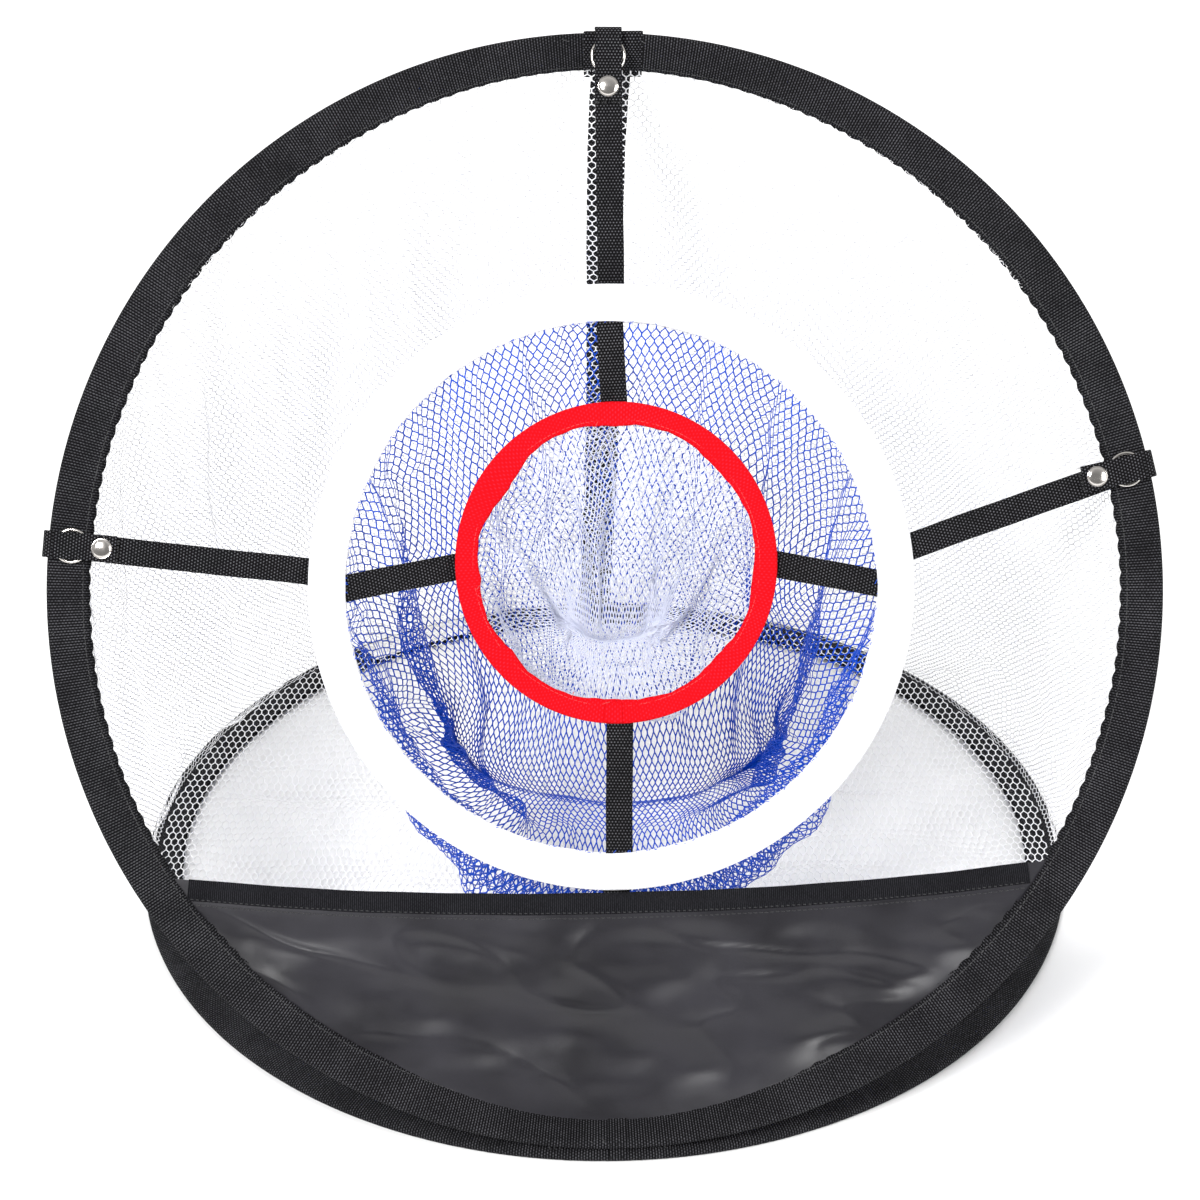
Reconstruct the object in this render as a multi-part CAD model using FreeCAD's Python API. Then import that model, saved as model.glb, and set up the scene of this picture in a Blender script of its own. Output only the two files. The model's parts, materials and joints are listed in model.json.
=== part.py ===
import FreeCAD, Part
import math
import os
from FreeCAD import Placement, Rotation, Vector

# Pop-up golf chipping net, in millimetres.
# Two sprung wire hoops in folded webbing are sewn together at the front. The base hoop
# lies on the ground and the front hoop leans back over it, held open by a rear strap.
# A white ring and a red ring hang on straps in the front hoop, each with a net pocket.
# Origin: centre of the base hoop, on the ground. +Z up, +Y away from the player.
#
# Hoop frames: each hoop is drawn in its own frame, with its centre at the origin, its
# plane in XY, +Y towards the edge opposite the seam, and +Z out of its top or front face.

# ---- the two hoops and the seam that joins them
FRONT_RADIUS = 265.0
BASE_RADIUS = 252.0
HOOP_BAND = 20.0
HOOP_WIRE_RADIUS = 1.0
HOOP_CHANNEL = 1.6
HOOP_PLY = 0.9
HOOP_HALF_GAP = 0.3
GROUND_FLAT = 0.1
OPENING_ANGLE = 60.0
SEAM_HEIGHT = 5.3
SEAM_RADIUS = 0.5
SEAM_LENGTH = 60.0
FRONT_PLANE_OFFSET = 2.8
FRONT_NOSE_SETBACK = 1.5
BASE_NOSE_ADVANCE = 4.0

# ---- white middle ring and red inner ring, centred near the front hoop's centre
MIDDLE_RADIUS = 144.0
MIDDLE_BAND = 18.0
MIDDLE_WIRE_RADIUS = 0.8
MIDDLE_CHANNEL = 1.35
MIDDLE_PLY = 0.8
MIDDLE_HALF_GAP = 0.9
MIDDLE_CENTRE = Vector(2.8, 2.8, 0)
INNER_RADIUS = 76.5
INNER_BAND = 10.5
INNER_WIRE_RADIUS = 0.7
INNER_CHANNEL = 1.2
INNER_PLY = 0.8
INNER_HALF_GAP = 0.3
INNER_CENTRE = Vector(5.2, 14.6, 0)

# ---- crimped sleeves that join the ends of each wire, at the bottom of its ring
WIRE_END_GAP = 0.6
FERRULE_CLEARANCE = 0.03
FERRULE_WALL = 0.45
FERRULE_LENGTH = 14.0

# ---- webbing
STRAP_WIDTH = 12.7
STRAP_THICKNESS = 1.2
REAR_STRAP_WIDTH = 19.0
PATCH_WIDTH = 28.0
PATCH_PLY = 0.9
PATCH_TAIL = 30.0
PATCH_LEAVES_AT = -33.0
PATCH_FRONT_REACH = 16.5
LOWER_PATCH_REACH = 16.0
REAR_STRAP_OVERLAP = 18.0
SEWING_CLEARANCE = 0.1
SOFT_CLEARANCE = 0.3

# ---- snap attachments of the outer straps: angle round the front hoop, angle round the
# middle ring where the strap ends, and how far a patch below lifts the stack
ATTACHMENTS = {
    "top": (89.2, 89.4, 1.0),
    "left": (174.3, 176.8, 0.0),
    "right": (12.9, 5.6, 0.0),
}
O_RING_RADIUS = 8.5
O_RING_WIRE = 0.9
O_RING_DISTANCE = 253.5
O_RING_HEIGHT = 3.5
STRAP_END_HEIGHT = 2.05
LOOP_START = 5.2
LOOP_END = 10.4
LOOP_BOTTOM = 1.65
LOOP_TOP = 5.45
LOOP_CLEARANCE = 0.1
FLAP_HEIGHT = 5.8
FLAP_END = 232.0
FLAP_HINGE_GAP = 0.15
FLAP_WRAP_RADIUS = 262.0
TAB_BEND = 5.5
TAB_SHORT_END = -20.0
TAB_REAR_END = 250.0
SNAP_DISTANCE = 238.6
SNAP_HOLE = 1.3
SNAP_POST = 1.2
CAP_RADIUS = 4.9
CAP_EDGE = 0.5
CAP_DOME = 1.1
SOCKET_RADIUS = 3.9
SOCKET_HEIGHT = 2.0
SOCKET_BORE = 2.1
SOCKET_ROOF = 0.5
STUD_RADIUS = 3.6
STUD_FLANGE = 0.4
STUD_HEAD_RADIUS = 1.8
STUD_HEAD_HEIGHT = 1.6
STUD_SEAT_GAP = 0.05

# ---- straps in the rings
STRAP_BEHIND_RING = -2.95
STRAP_RAMP_START = 24.0
STRAP_END_INSET = 13.0
INNER_STRAP_TUCK = 5.0
INNER_STRAP_HEIGHT = 0.25
INNER_STRAP_RAMP = 6.0
INNER_STRAP_REACH = 7.5
BOTTOM_STRAP_ANGLE = 270.5
BOTTOM_STRAP_OUTER_END = 252.0
INNER_STRAP_ANGLES = {"top": 90.0, "left": 180.0, "right": 0.0, "bottom": 271.0}

# ---- black cloth across the bottom of the front hoop
PANEL_CHORD = -144.0
PANEL_THICKNESS = 0.4
PANEL_TUCK = 5.0
HEM_WIDTH = 10.0
HEM_THICKNESS = 1.0

# ---- nets, as thin shells
NET_THICKNESS = 0.6
FLOOR_NET_THICKNESS = 0.4
FLOOR_NET_TUCK = 5.0
NET_START = 1.2
NET_INSET = 1.2
WALL_LOWEST = 3.3
WALL_SEAM_ANGLE = 6.0
WALL_STEPS = 48
POCKET_STEPS = 32
# pocket rows: depth behind the ring, droop towards the ground, radius
MIDDLE_POCKET = ((1.2, 0, 125.2), (30, 2, 123), (70, 8, 113), (110, 18, 92), (138, 27, 60), (150, 32, 20))
INNER_POCKET = ((0.6, 0, 65.2), (20, 1, 63), (42, 3, 53), (62, 6, 36), (76, 9, 12))

# ---- blank label on the base binding
LABEL_FROM = 110.0
LABEL_TO = 126.0
LABEL_THICKNESS = 0.3
LABEL_EDGE = 2.0

HOOP_NOSE = HOOP_CHANNEL + HOOP_PLY
MIDDLE_NOSE = MIDDLE_CHANNEL + MIDDLE_PLY
INNER_NOSE = INNER_CHANNEL + INNER_PLY
BASE_CENTRE_BACK = BASE_RADIUS - HOOP_NOSE - BASE_NOSE_ADVANCE
UP = Vector(0, 0, 1)
ORIGIN = Vector(0, 0, 0)
SEAM_AT = Vector(0, -BASE_CENTRE_BACK, SEAM_HEIGHT)
BOTTOM = -90.0

BASE_FRAME = Placement(Vector(0, 0, HOOP_NOSE - GROUND_FLAT), Rotation())
FRONT_LEAN = Placement(SEAM_AT, Rotation(Vector(1, 0, 0), OPENING_ANGLE))
FRONT_CENTRE = Vector(0, FRONT_RADIUS - HOOP_NOSE + FRONT_NOSE_SETBACK, FRONT_PLANE_OFFSET)
FRONT_FRAME = FRONT_LEAN.multiply(Placement(FRONT_CENTRE, Rotation()))


# ---- helpers


def save(name, frame, *solids):
    """Write one node: its solids, moved from their frame to the object's."""
    moved = [solid.copy() for solid in solids]
    for solid in moved:
        solid.Placement = frame.multiply(solid.Placement)
    shape = moved[0] if len(moved) == 1 else Part.makeCompound(moved)
    if not shape.isValid():
        raise ValueError(f"{name} is not valid")
    shape.exportStep(f"parts/{name}.step")
    print(f"{name:28s} {sum(s.Volume for s in shape.Solids):12.1f} mm3  {len(shape.Solids)} solid(s)")


def one_solid(shape):
    return shape.removeSplitter().Solids[0]


def polar(radius, angle, height=0.0):
    turn = math.radians(angle)
    return Vector(radius * math.cos(turn), radius * math.sin(turn), height)


def tangent_point(point, centre_x, radius, side):
    """Where a line from a point in the XZ plane touches a circle centred on the X axis."""
    away = math.hypot(centre_x - point.x, point.z)
    aim = math.atan2(-point.z, centre_x - point.x) + side * math.asin(radius / away)
    reach = math.sqrt(away**2 - radius**2)
    return Vector(point.x + reach * math.cos(aim), 0, point.z + reach * math.sin(aim))


def face_of(*edges):
    return Part.Face(Part.Wire(edges))


def line(a, b):
    return Part.LineSegment(a, b).toShape()


def arc(a, middle, b):
    return Part.Arc(a, middle, b).toShape()


def xz(x, z):
    return Vector(x, 0, z)


def turned(shape, angle, centre=ORIGIN):
    """Turn about the hoop's axis and move to a ring's centre."""
    shape = shape.copy()
    shape.Placement = Placement(centre, Rotation(UP, angle)).multiply(shape.Placement)
    return shape


def on_arc(centre, radius, angle):
    turn = math.radians(angle)
    return centre + xz(radius * math.cos(turn), radius * math.sin(turn))


def block(x0, x1, width, z0, z1):
    return Part.makeBox(x1 - x0, width, z1 - z0, Vector(x0, -width / 2, z0))


# ---- rings: folded binding, sprung wire, crimped sleeve


def folded_binding(outer_radius, band, channel, ply, half_gap):
    """Webbing folded round the wire: a U section, open at the ring's inner edge."""
    nose = channel + ply
    centre = outer_radius - nose
    inner = outer_radius - band
    outside = half_gap + ply
    out_top = tangent_point(xz(inner, outside), centre, nose, 1)
    out_low = xz(out_top.x, -out_top.z)
    in_top = tangent_point(xz(inner, half_gap), centre, channel, 1)
    in_low = xz(in_top.x, -in_top.z)
    section = face_of(
        line(xz(inner, outside), out_top),
        arc(out_top, xz(outer_radius, 0), out_low),
        line(out_low, xz(inner, -outside)),
        line(xz(inner, -outside), xz(inner, -half_gap)),
        line(xz(inner, -half_gap), in_low),
        arc(in_low, xz(centre + channel, 0), in_top),
        line(in_top, xz(inner, half_gap)),
        line(xz(inner, half_gap), xz(inner, outside)),
    )
    return section.revolve(ORIGIN, UP, 360)


def round_bar(ring_radius, bar_radius, start, sweep, hollow=0.0):
    """A stretch of round wire or tube bent round the ring's axis, angles in degrees."""
    rim = Part.Wire(Part.makeCircle(bar_radius, xz(ring_radius, 0), Vector(0, 1, 0)))
    section = Part.Face(rim)
    if hollow:
        hole = Part.Wire(Part.makeCircle(hollow, xz(ring_radius, 0), Vector(0, 1, 0)))
        section = section.cut(Part.Face(hole)).Faces[0]
    return turned(section.revolve(ORIGIN, UP, sweep), start)


def hoop_wire(ring_radius, wire_radius):
    gap = math.degrees(WIRE_END_GAP / ring_radius)
    return round_bar(ring_radius, wire_radius, BOTTOM + gap / 2, 360 - gap)


def ferrule(ring_radius, wire_radius):
    sweep = math.degrees(FERRULE_LENGTH / ring_radius)
    bore = wire_radius + FERRULE_CLEARANCE
    return round_bar(ring_radius, bore + FERRULE_WALL, BOTTOM - sweep / 2, sweep, bore)


def save_ring(name, frame, centre, outer_radius, band, channel, ply, half_gap, wire_radius):
    wire_circle = outer_radius - channel - ply
    place = frame.multiply(Placement(centre, Rotation()))
    binding = folded_binding(outer_radius, band, channel, ply, half_gap)
    if name == "base":
        binding = flat_underneath(binding)
    save(f"{name}_binding", place, binding)
    save(f"{name}_wire", place, hoop_wire(wire_circle, wire_radius))
    save(f"{name}_wire_ferrule", place, ferrule(wire_circle, wire_radius))


def flat_underneath(binding):
    """The base binding rests on a narrow flat all round its wire."""
    size = 2 * (BASE_RADIUS + HOOP_BAND)
    ground = Part.makeBox(size, size, HOOP_NOSE, Vector(-size / 2, -size / 2, -2 * HOOP_NOSE + GROUND_FLAT))
    return one_solid(binding.cut(ground))


# ---- ribbons of webbing


def ribbon(path, thickness, width):
    """Flat webbing whose middle line is a path of (x, z) points, extruded across Y."""
    above = offset_path(path, thickness / 2)
    below = offset_path(path, -thickness / 2)
    outline = above + below[::-1]
    wire = Part.makePolygon([xz(x, z) + Vector(0, -width / 2, 0) for x, z in outline + outline[:1]])
    return Part.Face(wire).extrude(Vector(0, width, 0))


def offset_path(path, distance):
    """The path moved sideways, mitred at its corners."""
    moved = []
    for i, (x, z) in enumerate(path):
        before = unit(path[max(i - 1, 0)], path[max(i, 1)])
        after = unit(path[min(i, len(path) - 2)], path[min(i + 1, len(path) - 1)])
        nx = -(before[1] + after[1])
        nz = before[0] + after[0]
        scale = 2 * distance / (nx * nx + nz * nz)
        moved.append((x + nx * scale, z + nz * scale))
    return moved


def unit(a, b):
    length = math.hypot(b[0] - a[0], b[1] - a[1])
    return (b[0] - a[0]) / length, (b[1] - a[1]) / length


# ---- snap attachments


def webbing_tab(lift):
    """The sewn part of the snap strap, round the hoop's outer edge.

    Where a patch lies below, the tab ends on the patch instead of behind the hoop.
    """
    centre = xz(FLAP_WRAP_RADIUS, FLAP_HEIGHT + STRAP_THICKNESS + lift - TAB_BEND)
    end = TAB_SHORT_END if lift else BOTTOM
    outer = [on_arc(centre, TAB_BEND, angle) for angle in (90, end / 2, end)]
    inner = [on_arc(centre, TAB_BEND - STRAP_THICKNESS, angle) for angle in (90, end / 2, end)]
    edges = [arc(*outer)]
    if lift:
        edges.append(line(outer[2], inner[2]))
    else:
        rear = xz(TAB_REAR_END, outer[2].z)
        rear_in = xz(TAB_REAR_END, inner[2].z)
        edges += [line(outer[2], rear), line(rear, rear_in), line(rear_in, inner[2])]
    edges += [arc(*inner[::-1]), line(inner[0], outer[0])]
    section = face_of(*edges)
    section.translate(Vector(0, -STRAP_WIDTH / 2, 0))
    return section.extrude(Vector(0, STRAP_WIDTH, 0))


def snap_flap(lift):
    """The free end of the snap strap, which lifts off."""
    low = FLAP_HEIGHT + lift
    flap = block(FLAP_END, FLAP_WRAP_RADIUS - FLAP_HINGE_GAP, STRAP_WIDTH, low, low + STRAP_THICKNESS)
    hole = Part.makeCylinder(SNAP_HOLE, STRAP_THICKNESS, xz(SNAP_DISTANCE, low))
    return flap.cut(hole)


def snap_cap(lift):
    """Domed cap on top of the flap, with the post that rivets it to the socket."""
    low = FLAP_HEIGHT + STRAP_THICKNESS + lift
    rim = Part.makeCylinder(CAP_RADIUS, CAP_EDGE, xz(SNAP_DISTANCE, low))
    ball_radius = (CAP_RADIUS**2 + CAP_DOME**2) / (2 * CAP_DOME)
    crown = low + CAP_EDGE + CAP_DOME
    ball = Part.makeSphere(ball_radius, xz(SNAP_DISTANCE, crown - ball_radius))
    reach = 2 * CAP_RADIUS
    above = block(SNAP_DISTANCE - reach, SNAP_DISTANCE + reach, 2 * reach, low + CAP_EDGE, crown + CAP_DOME)
    post = Part.makeCylinder(SNAP_POST, STRAP_THICKNESS, xz(SNAP_DISTANCE, FLAP_HEIGHT + lift))
    return one_solid(rim.fuse([ball.common(above), post]))


def snap_socket(lift):
    """Socket under the flap, open downwards."""
    top = FLAP_HEIGHT + lift
    body = Part.makeCylinder(SOCKET_RADIUS, SOCKET_HEIGHT, xz(SNAP_DISTANCE, top - SOCKET_HEIGHT))
    depth = SOCKET_HEIGHT - SOCKET_ROOF
    bore = Part.makeCylinder(SOCKET_BORE, depth, xz(SNAP_DISTANCE, top - SOCKET_HEIGHT))
    return body.cut(bore)


def snap_stud(lift):
    """Stud riveted through the outer strap: head above, washer below."""
    strap_top = STRAP_END_HEIGHT + lift + STRAP_THICKNESS / 2
    flange_low = strap_top + STUD_SEAT_GAP
    washer_low = strap_top - STRAP_THICKNESS - STUD_SEAT_GAP - STUD_FLANGE
    head_top = flange_low + STUD_FLANGE + STUD_HEAD_HEIGHT
    flange = Part.makeCylinder(STUD_RADIUS, STUD_FLANGE, xz(SNAP_DISTANCE, flange_low))
    washer = Part.makeCylinder(STUD_RADIUS, STUD_FLANGE, xz(SNAP_DISTANCE, washer_low))
    shank = Part.makeCylinder(SNAP_POST, head_top - washer_low, xz(SNAP_DISTANCE, washer_low))
    head = Part.makeCylinder(
        STUD_HEAD_RADIUS, STUD_HEAD_HEIGHT, xz(SNAP_DISTANCE, flange_low + STUD_FLANGE)
    )
    return one_solid(flange.fuse([washer, shank, head]))


def o_ring(lift):
    return Part.makeTorus(O_RING_RADIUS - O_RING_WIRE, O_RING_WIRE, xz(O_RING_DISTANCE, O_RING_HEIGHT + lift))


def outer_strap(hoop_angle, ring_angle, lift):
    """Strap from its loop round the O-ring to the back of the middle ring."""
    start = polar(O_RING_DISTANCE, hoop_angle)
    end = MIDDLE_CENTRE + polar(MIDDLE_RADIUS - STRAP_END_INSET, ring_angle)
    along = end - start
    length = along.Length
    ramp_end = length - STRAP_END_INSET - 2 * MIDDLE_NOSE
    height = STRAP_END_HEIGHT + lift
    path = [(LOOP_END - STRAP_THICKNESS, height), (STRAP_RAMP_START, height)]
    path += [(ramp_end, STRAP_BEHIND_RING), (length, STRAP_BEHIND_RING)]
    strap = ribbon(path, STRAP_THICKNESS, STRAP_WIDTH)
    loop = block(LOOP_START, LOOP_END, STRAP_WIDTH, LOOP_BOTTOM + lift, LOOP_TOP + lift)
    tube = O_RING_WIRE + LOOP_CLEARANCE
    channel = Part.makeTorus(O_RING_RADIUS - O_RING_WIRE, tube, xz(0, O_RING_HEIGHT + lift))
    whole = one_solid(one_solid(strap.fuse(loop)).cut(channel))
    whole = turned(whole, math.degrees(math.atan2(along.y, along.x)), start)
    hole_low = polar(SNAP_DISTANCE, hoop_angle, height - STRAP_THICKNESS)
    return one_solid(whole.cut(Part.makeCylinder(SNAP_HOLE, 2 * STRAP_THICKNESS, hole_low)))


def bottom_outer_strap():
    start = polar(BOTTOM_STRAP_OUTER_END, BOTTOM_STRAP_ANGLE)
    end = MIDDLE_CENTRE + polar(MIDDLE_RADIUS - STRAP_END_INSET, BOTTOM_STRAP_ANGLE)
    along = end - start
    path = [(0, STRAP_BEHIND_RING), (along.Length, STRAP_BEHIND_RING)]
    strap = ribbon(path, STRAP_THICKNESS, STRAP_WIDTH)
    return turned(strap, math.degrees(math.atan2(along.y, along.x)), start)


def inner_strap(angle):
    """Strap from inside the middle ring's fold to the back of the inner ring."""
    ring_edge = MIDDLE_RADIUS - MIDDLE_BAND
    start = MIDDLE_CENTRE + polar(ring_edge + INNER_STRAP_TUCK, angle)
    end = INNER_CENTRE + polar(INNER_RADIUS - INNER_STRAP_REACH, angle)
    along = end - start
    behind = -INNER_NOSE - SEWING_CLEARANCE - STRAP_THICKNESS / 2
    path = [(0, INNER_STRAP_HEIGHT), (INNER_STRAP_TUCK + INNER_STRAP_RAMP, INNER_STRAP_HEIGHT)]
    path += [(along.Length - INNER_STRAP_REACH - INNER_NOSE, behind), (along.Length, behind)]
    strap = ribbon(path, STRAP_THICKNESS, STRAP_WIDTH)
    return turned(strap, math.degrees(math.atan2(along.y, along.x)), start)


# ---- rear strap


def patch_outline():
    """Section of the patch: a ply on the hoop's front, a turn round its edge, a tail."""
    centre = FRONT_RADIUS - HOOP_NOSE
    lift_in = HOOP_NOSE + SEWING_CLEARANCE
    lift_out = lift_in + PATCH_PLY
    edge = FRONT_RADIUS - HOOP_BAND
    start = centre - PATCH_FRONT_REACH
    base = HOOP_HALF_GAP + HOOP_PLY + SEWING_CLEARANCE
    touch_in = tangent_point(xz(edge, base), centre, lift_in, 1)
    touch_out = tangent_point(xz(edge, base + PATCH_PLY), centre, lift_out, 1)
    slope = (touch_in.z - base) / (touch_in.x - edge)
    first_in = xz(start, base + slope * (start - edge))
    first_out = xz(start, base + PATCH_PLY + slope * (start - edge))
    turn = math.radians(PATCH_LEAVES_AT)
    outward = xz(math.cos(turn), math.sin(turn))
    tail_along = xz(math.sin(turn), -math.cos(turn))
    leave_in = xz(centre, 0) + outward * lift_in
    leave_out = xz(centre, 0) + outward * lift_out
    end_in = leave_in + tail_along * PATCH_TAIL
    end_out = leave_out + tail_along * PATCH_TAIL
    wire = [
        line(first_in, touch_in),
        arc(touch_in, xz(centre + lift_in, 0), leave_in),
        line(leave_in, end_in),
        line(end_in, end_out),
        line(end_out, leave_out),
        arc(leave_out, xz(centre + lift_out, 0), touch_out),
        line(touch_out, first_out),
        line(first_out, first_in),
    ]
    return wire, end_out, tail_along


def upper_patch():
    """Sewn end of the rear strap, round the top of the front hoop."""
    wire, _, _ = patch_outline()
    section = face_of(*wire)
    section.translate(Vector(0, -PATCH_WIDTH / 2, 0))
    return turned(section.extrude(Vector(0, PATCH_WIDTH, 0)), 90.0)


def lower_patch():
    """Sewn end of the rear strap, on the back of the base binding."""
    centre = BASE_RADIUS - HOOP_NOSE
    low = HOOP_NOSE + SEWING_CLEARANCE
    return turned(block(centre - LOWER_PATCH_REACH, centre, PATCH_WIDTH, low, low + PATCH_PLY), 90.0)


def rear_strap():
    """Taut webbing from the patch on the front hoop to the patch on the base, in object axes."""
    _, tail_end, tail_along = patch_outline()
    half = STRAP_THICKNESS / 2 + SEWING_CLEARANCE
    beside_tail = xz(-tail_along.z, tail_along.x) * half
    start = tail_end + beside_tail - tail_along * REAR_STRAP_OVERLAP
    top = FRONT_FRAME.multVec(Vector(0, start.x, start.z))
    base_top = 2 * HOOP_NOSE - GROUND_FLAT + SEWING_CLEARANCE + PATCH_PLY
    back = BASE_RADIUS - HOOP_NOSE
    path = [(top.y, top.z), (back, base_top + half)]
    return turned(ribbon(path, STRAP_THICKNESS, REAR_STRAP_WIDTH), 90.0)


# ---- cloth and nets


def front_panel():
    """Black cloth below a chord of the front hoop, with a folded hem along its top."""
    edge = FRONT_RADIUS - HOOP_BAND
    tuck = edge + PANEL_TUCK
    deep = 2 * FRONT_RADIUS
    cloth = Part.makeCylinder(tuck, PANEL_THICKNESS, xz(0, -PANEL_THICKNESS / 2))
    below = Part.makeBox(deep, deep, deep, Vector(-deep / 2, PANEL_CHORD - deep, -deep / 2))
    hem = Part.makeCylinder(edge - SOFT_CLEARANCE, HEM_THICKNESS, xz(0, -HEM_THICKNESS / 2))
    strip = Part.makeBox(deep, HEM_WIDTH, deep, Vector(-deep / 2, PANEL_CHORD - HEM_WIDTH, -deep / 2))
    return one_solid(cloth.common(below).fuse(hem.common(strip)))


def floor_net():
    radius = BASE_RADIUS - HOOP_BAND + FLOOR_NET_TUCK
    return Part.makeCylinder(radius, FLOOR_NET_THICKNESS, xz(0, -FLOOR_NET_THICKNESS / 2))


def facet_shell(inside, outside, closed_round, closed_end):
    """A thin solid between two grids of points, rows by columns, with its rims filled."""
    faces = []
    rows = len(inside)
    columns = len(inside[0])
    last = columns if closed_round else columns - 1
    for grid in (inside, outside):
        for r in range(rows - 1):
            for c in range(last):
                d = (c + 1) % columns
                faces += two_triangles(grid[r][c], grid[r][d], grid[r + 1][d], grid[r + 1][c])
        if closed_end:
            faces.append(polygon(grid[-1]))
    rims = [0] if closed_end else [0, rows - 1]
    for r in rims:
        for c in range(last):
            d = (c + 1) % columns
            faces += two_triangles(inside[r][c], inside[r][d], outside[r][d], outside[r][c])
    if not closed_round:
        for c in (0, columns - 1):
            for r in range(rows - 1):
                faces += two_triangles(inside[r][c], inside[r + 1][c], outside[r + 1][c], outside[r][c])
    shell = Part.makeShell(faces)
    shell.sewShape()
    solid = Part.makeSolid(shell)
    return solid if solid.Volume > 0 else solid.reversed()


def polygon(points):
    return Part.Face(Part.makePolygon(list(points) + [points[0]]))


def two_triangles(a, b, c, d):
    return [polygon([a, b, c]), polygon([a, c, d])]


def pocket_net(rows, centre):
    """A drooping pocket behind a ring, in the front hoop's frame."""
    droop = FRONT_FRAME.Rotation.inverted().multVec(Vector(0, 0, -1))
    grids = []
    for thin in (NET_THICKNESS, 0.0):
        grid = []
        for depth, drop, radius in rows:
            middle = centre - UP * (depth - thin * (depth > rows[-2][0])) + droop * drop
            step = 360 / POCKET_STEPS
            grid.append([middle + polar(radius - thin, step * i) for i in range(POCKET_STEPS)])
        grids.append(grid)
    return facet_shell(grids[0], grids[1], True, True)


def outer_net():
    """The bag's wall, from the front hoop's inner edge to the base hoop's, in object axes."""
    grids = []
    for thick in (0.0, NET_THICKNESS):
        upper = []
        lower = []
        span = 360 - 2 * WALL_SEAM_ANGLE
        for i in range(WALL_STEPS + 1):
            angle = BOTTOM + WALL_SEAM_ANGLE + span * i / WALL_STEPS
            front = polar(FRONT_RADIUS - HOOP_BAND - NET_INSET + thick, angle, -NET_START - SOFT_CLEARANCE)
            upper.append(FRONT_FRAME.multVec(front))
            lower.append(polar(BASE_RADIUS - HOOP_BAND - NET_INSET + thick, angle, WALL_LOWEST))
        grids.append([upper, lower])
    return facet_shell(grids[0], grids[1], False, False)


# ---- trim


def blank_label():
    """Plain label laid along the top of the base binding, back left."""
    edge = BASE_RADIUS - HOOP_BAND
    base = HOOP_HALF_GAP + HOOP_PLY
    touch = tangent_point(xz(edge, base), BASE_RADIUS - HOOP_NOSE, HOOP_NOSE, 1)
    slope = (touch.z - base) / (touch.x - edge)
    corners = []
    for x, lift in ((edge + LABEL_EDGE, 0), (touch.x, 0), (touch.x, 1), (edge + LABEL_EDGE, 1)):
        raised = SEWING_CLEARANCE + lift * LABEL_THICKNESS
        corners.append(xz(x, base + slope * (x - edge) + raised))
    section = Part.Face(Part.makePolygon(corners + corners[:1]))
    return turned(section.revolve(ORIGIN, UP, LABEL_TO - LABEL_FROM), LABEL_FROM)


def hinge_seam():
    """Rolled seam that joins the two hoops, on the axis they fold about."""
    return Part.makeCylinder(SEAM_RADIUS, SEAM_LENGTH, Vector(-SEAM_LENGTH / 2, 0, 0), Vector(1, 0, 0))


def save_attachment(name, hoop_angle, ring_angle, lift):
    pieces = {
        "snap_tab": webbing_tab(lift),
        "snap_flap": snap_flap(lift),
        "snap_cap": snap_cap(lift),
        "snap_socket": snap_socket(lift),
        "snap_stud": snap_stud(lift),
        "o_ring": o_ring(lift),
    }
    for piece, shape in pieces.items():
        save(f"{piece}_{name}", FRONT_FRAME, turned(shape, hoop_angle))
    save(f"outer_strap_{name}", FRONT_FRAME, outer_strap(hoop_angle, ring_angle, lift))


def main():
    os.makedirs("parts", exist_ok=True)
    hoop = (HOOP_BAND, HOOP_CHANNEL, HOOP_PLY, HOOP_HALF_GAP, HOOP_WIRE_RADIUS)
    save_ring("base", BASE_FRAME, ORIGIN, BASE_RADIUS, *hoop)
    save_ring("front", FRONT_FRAME, ORIGIN, FRONT_RADIUS, *hoop)
    middle = (MIDDLE_BAND, MIDDLE_CHANNEL, MIDDLE_PLY, MIDDLE_HALF_GAP, MIDDLE_WIRE_RADIUS)
    save_ring("middle_ring", FRONT_FRAME, MIDDLE_CENTRE, MIDDLE_RADIUS, *middle)
    inner = (INNER_BAND, INNER_CHANNEL, INNER_PLY, INNER_HALF_GAP, INNER_WIRE_RADIUS)
    save_ring("inner_ring", FRONT_FRAME, INNER_CENTRE, INNER_RADIUS, *inner)
    for name, (hoop_angle, ring_angle, lift) in ATTACHMENTS.items():
        save_attachment(name, hoop_angle, ring_angle, lift)
    save("outer_strap_bottom", FRONT_FRAME, bottom_outer_strap())
    for name, angle in INNER_STRAP_ANGLES.items():
        save(f"inner_strap_{name}", FRONT_FRAME, inner_strap(angle))
    save("front_panel", FRONT_FRAME, front_panel())
    save("rear_strap_upper_patch", FRONT_FRAME, upper_patch())
    save("rear_strap_lower_patch", BASE_FRAME, lower_patch())
    save("rear_strap", Placement(), rear_strap())
    save("floor_net", BASE_FRAME, floor_net())
    save("outer_net", Placement(), outer_net())
    save("middle_pocket_net", FRONT_FRAME, pocket_net(MIDDLE_POCKET, MIDDLE_CENTRE))
    save("inner_pocket_net", FRONT_FRAME, pocket_net(INNER_POCKET, INNER_CENTRE))
    save("blank_label", BASE_FRAME, blank_label())
    save("hinge_seam", Placement(SEAM_AT, Rotation()), hinge_seam())


main()
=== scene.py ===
import json
import math

import bpy
import numpy as np
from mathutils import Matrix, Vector, noise


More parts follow.
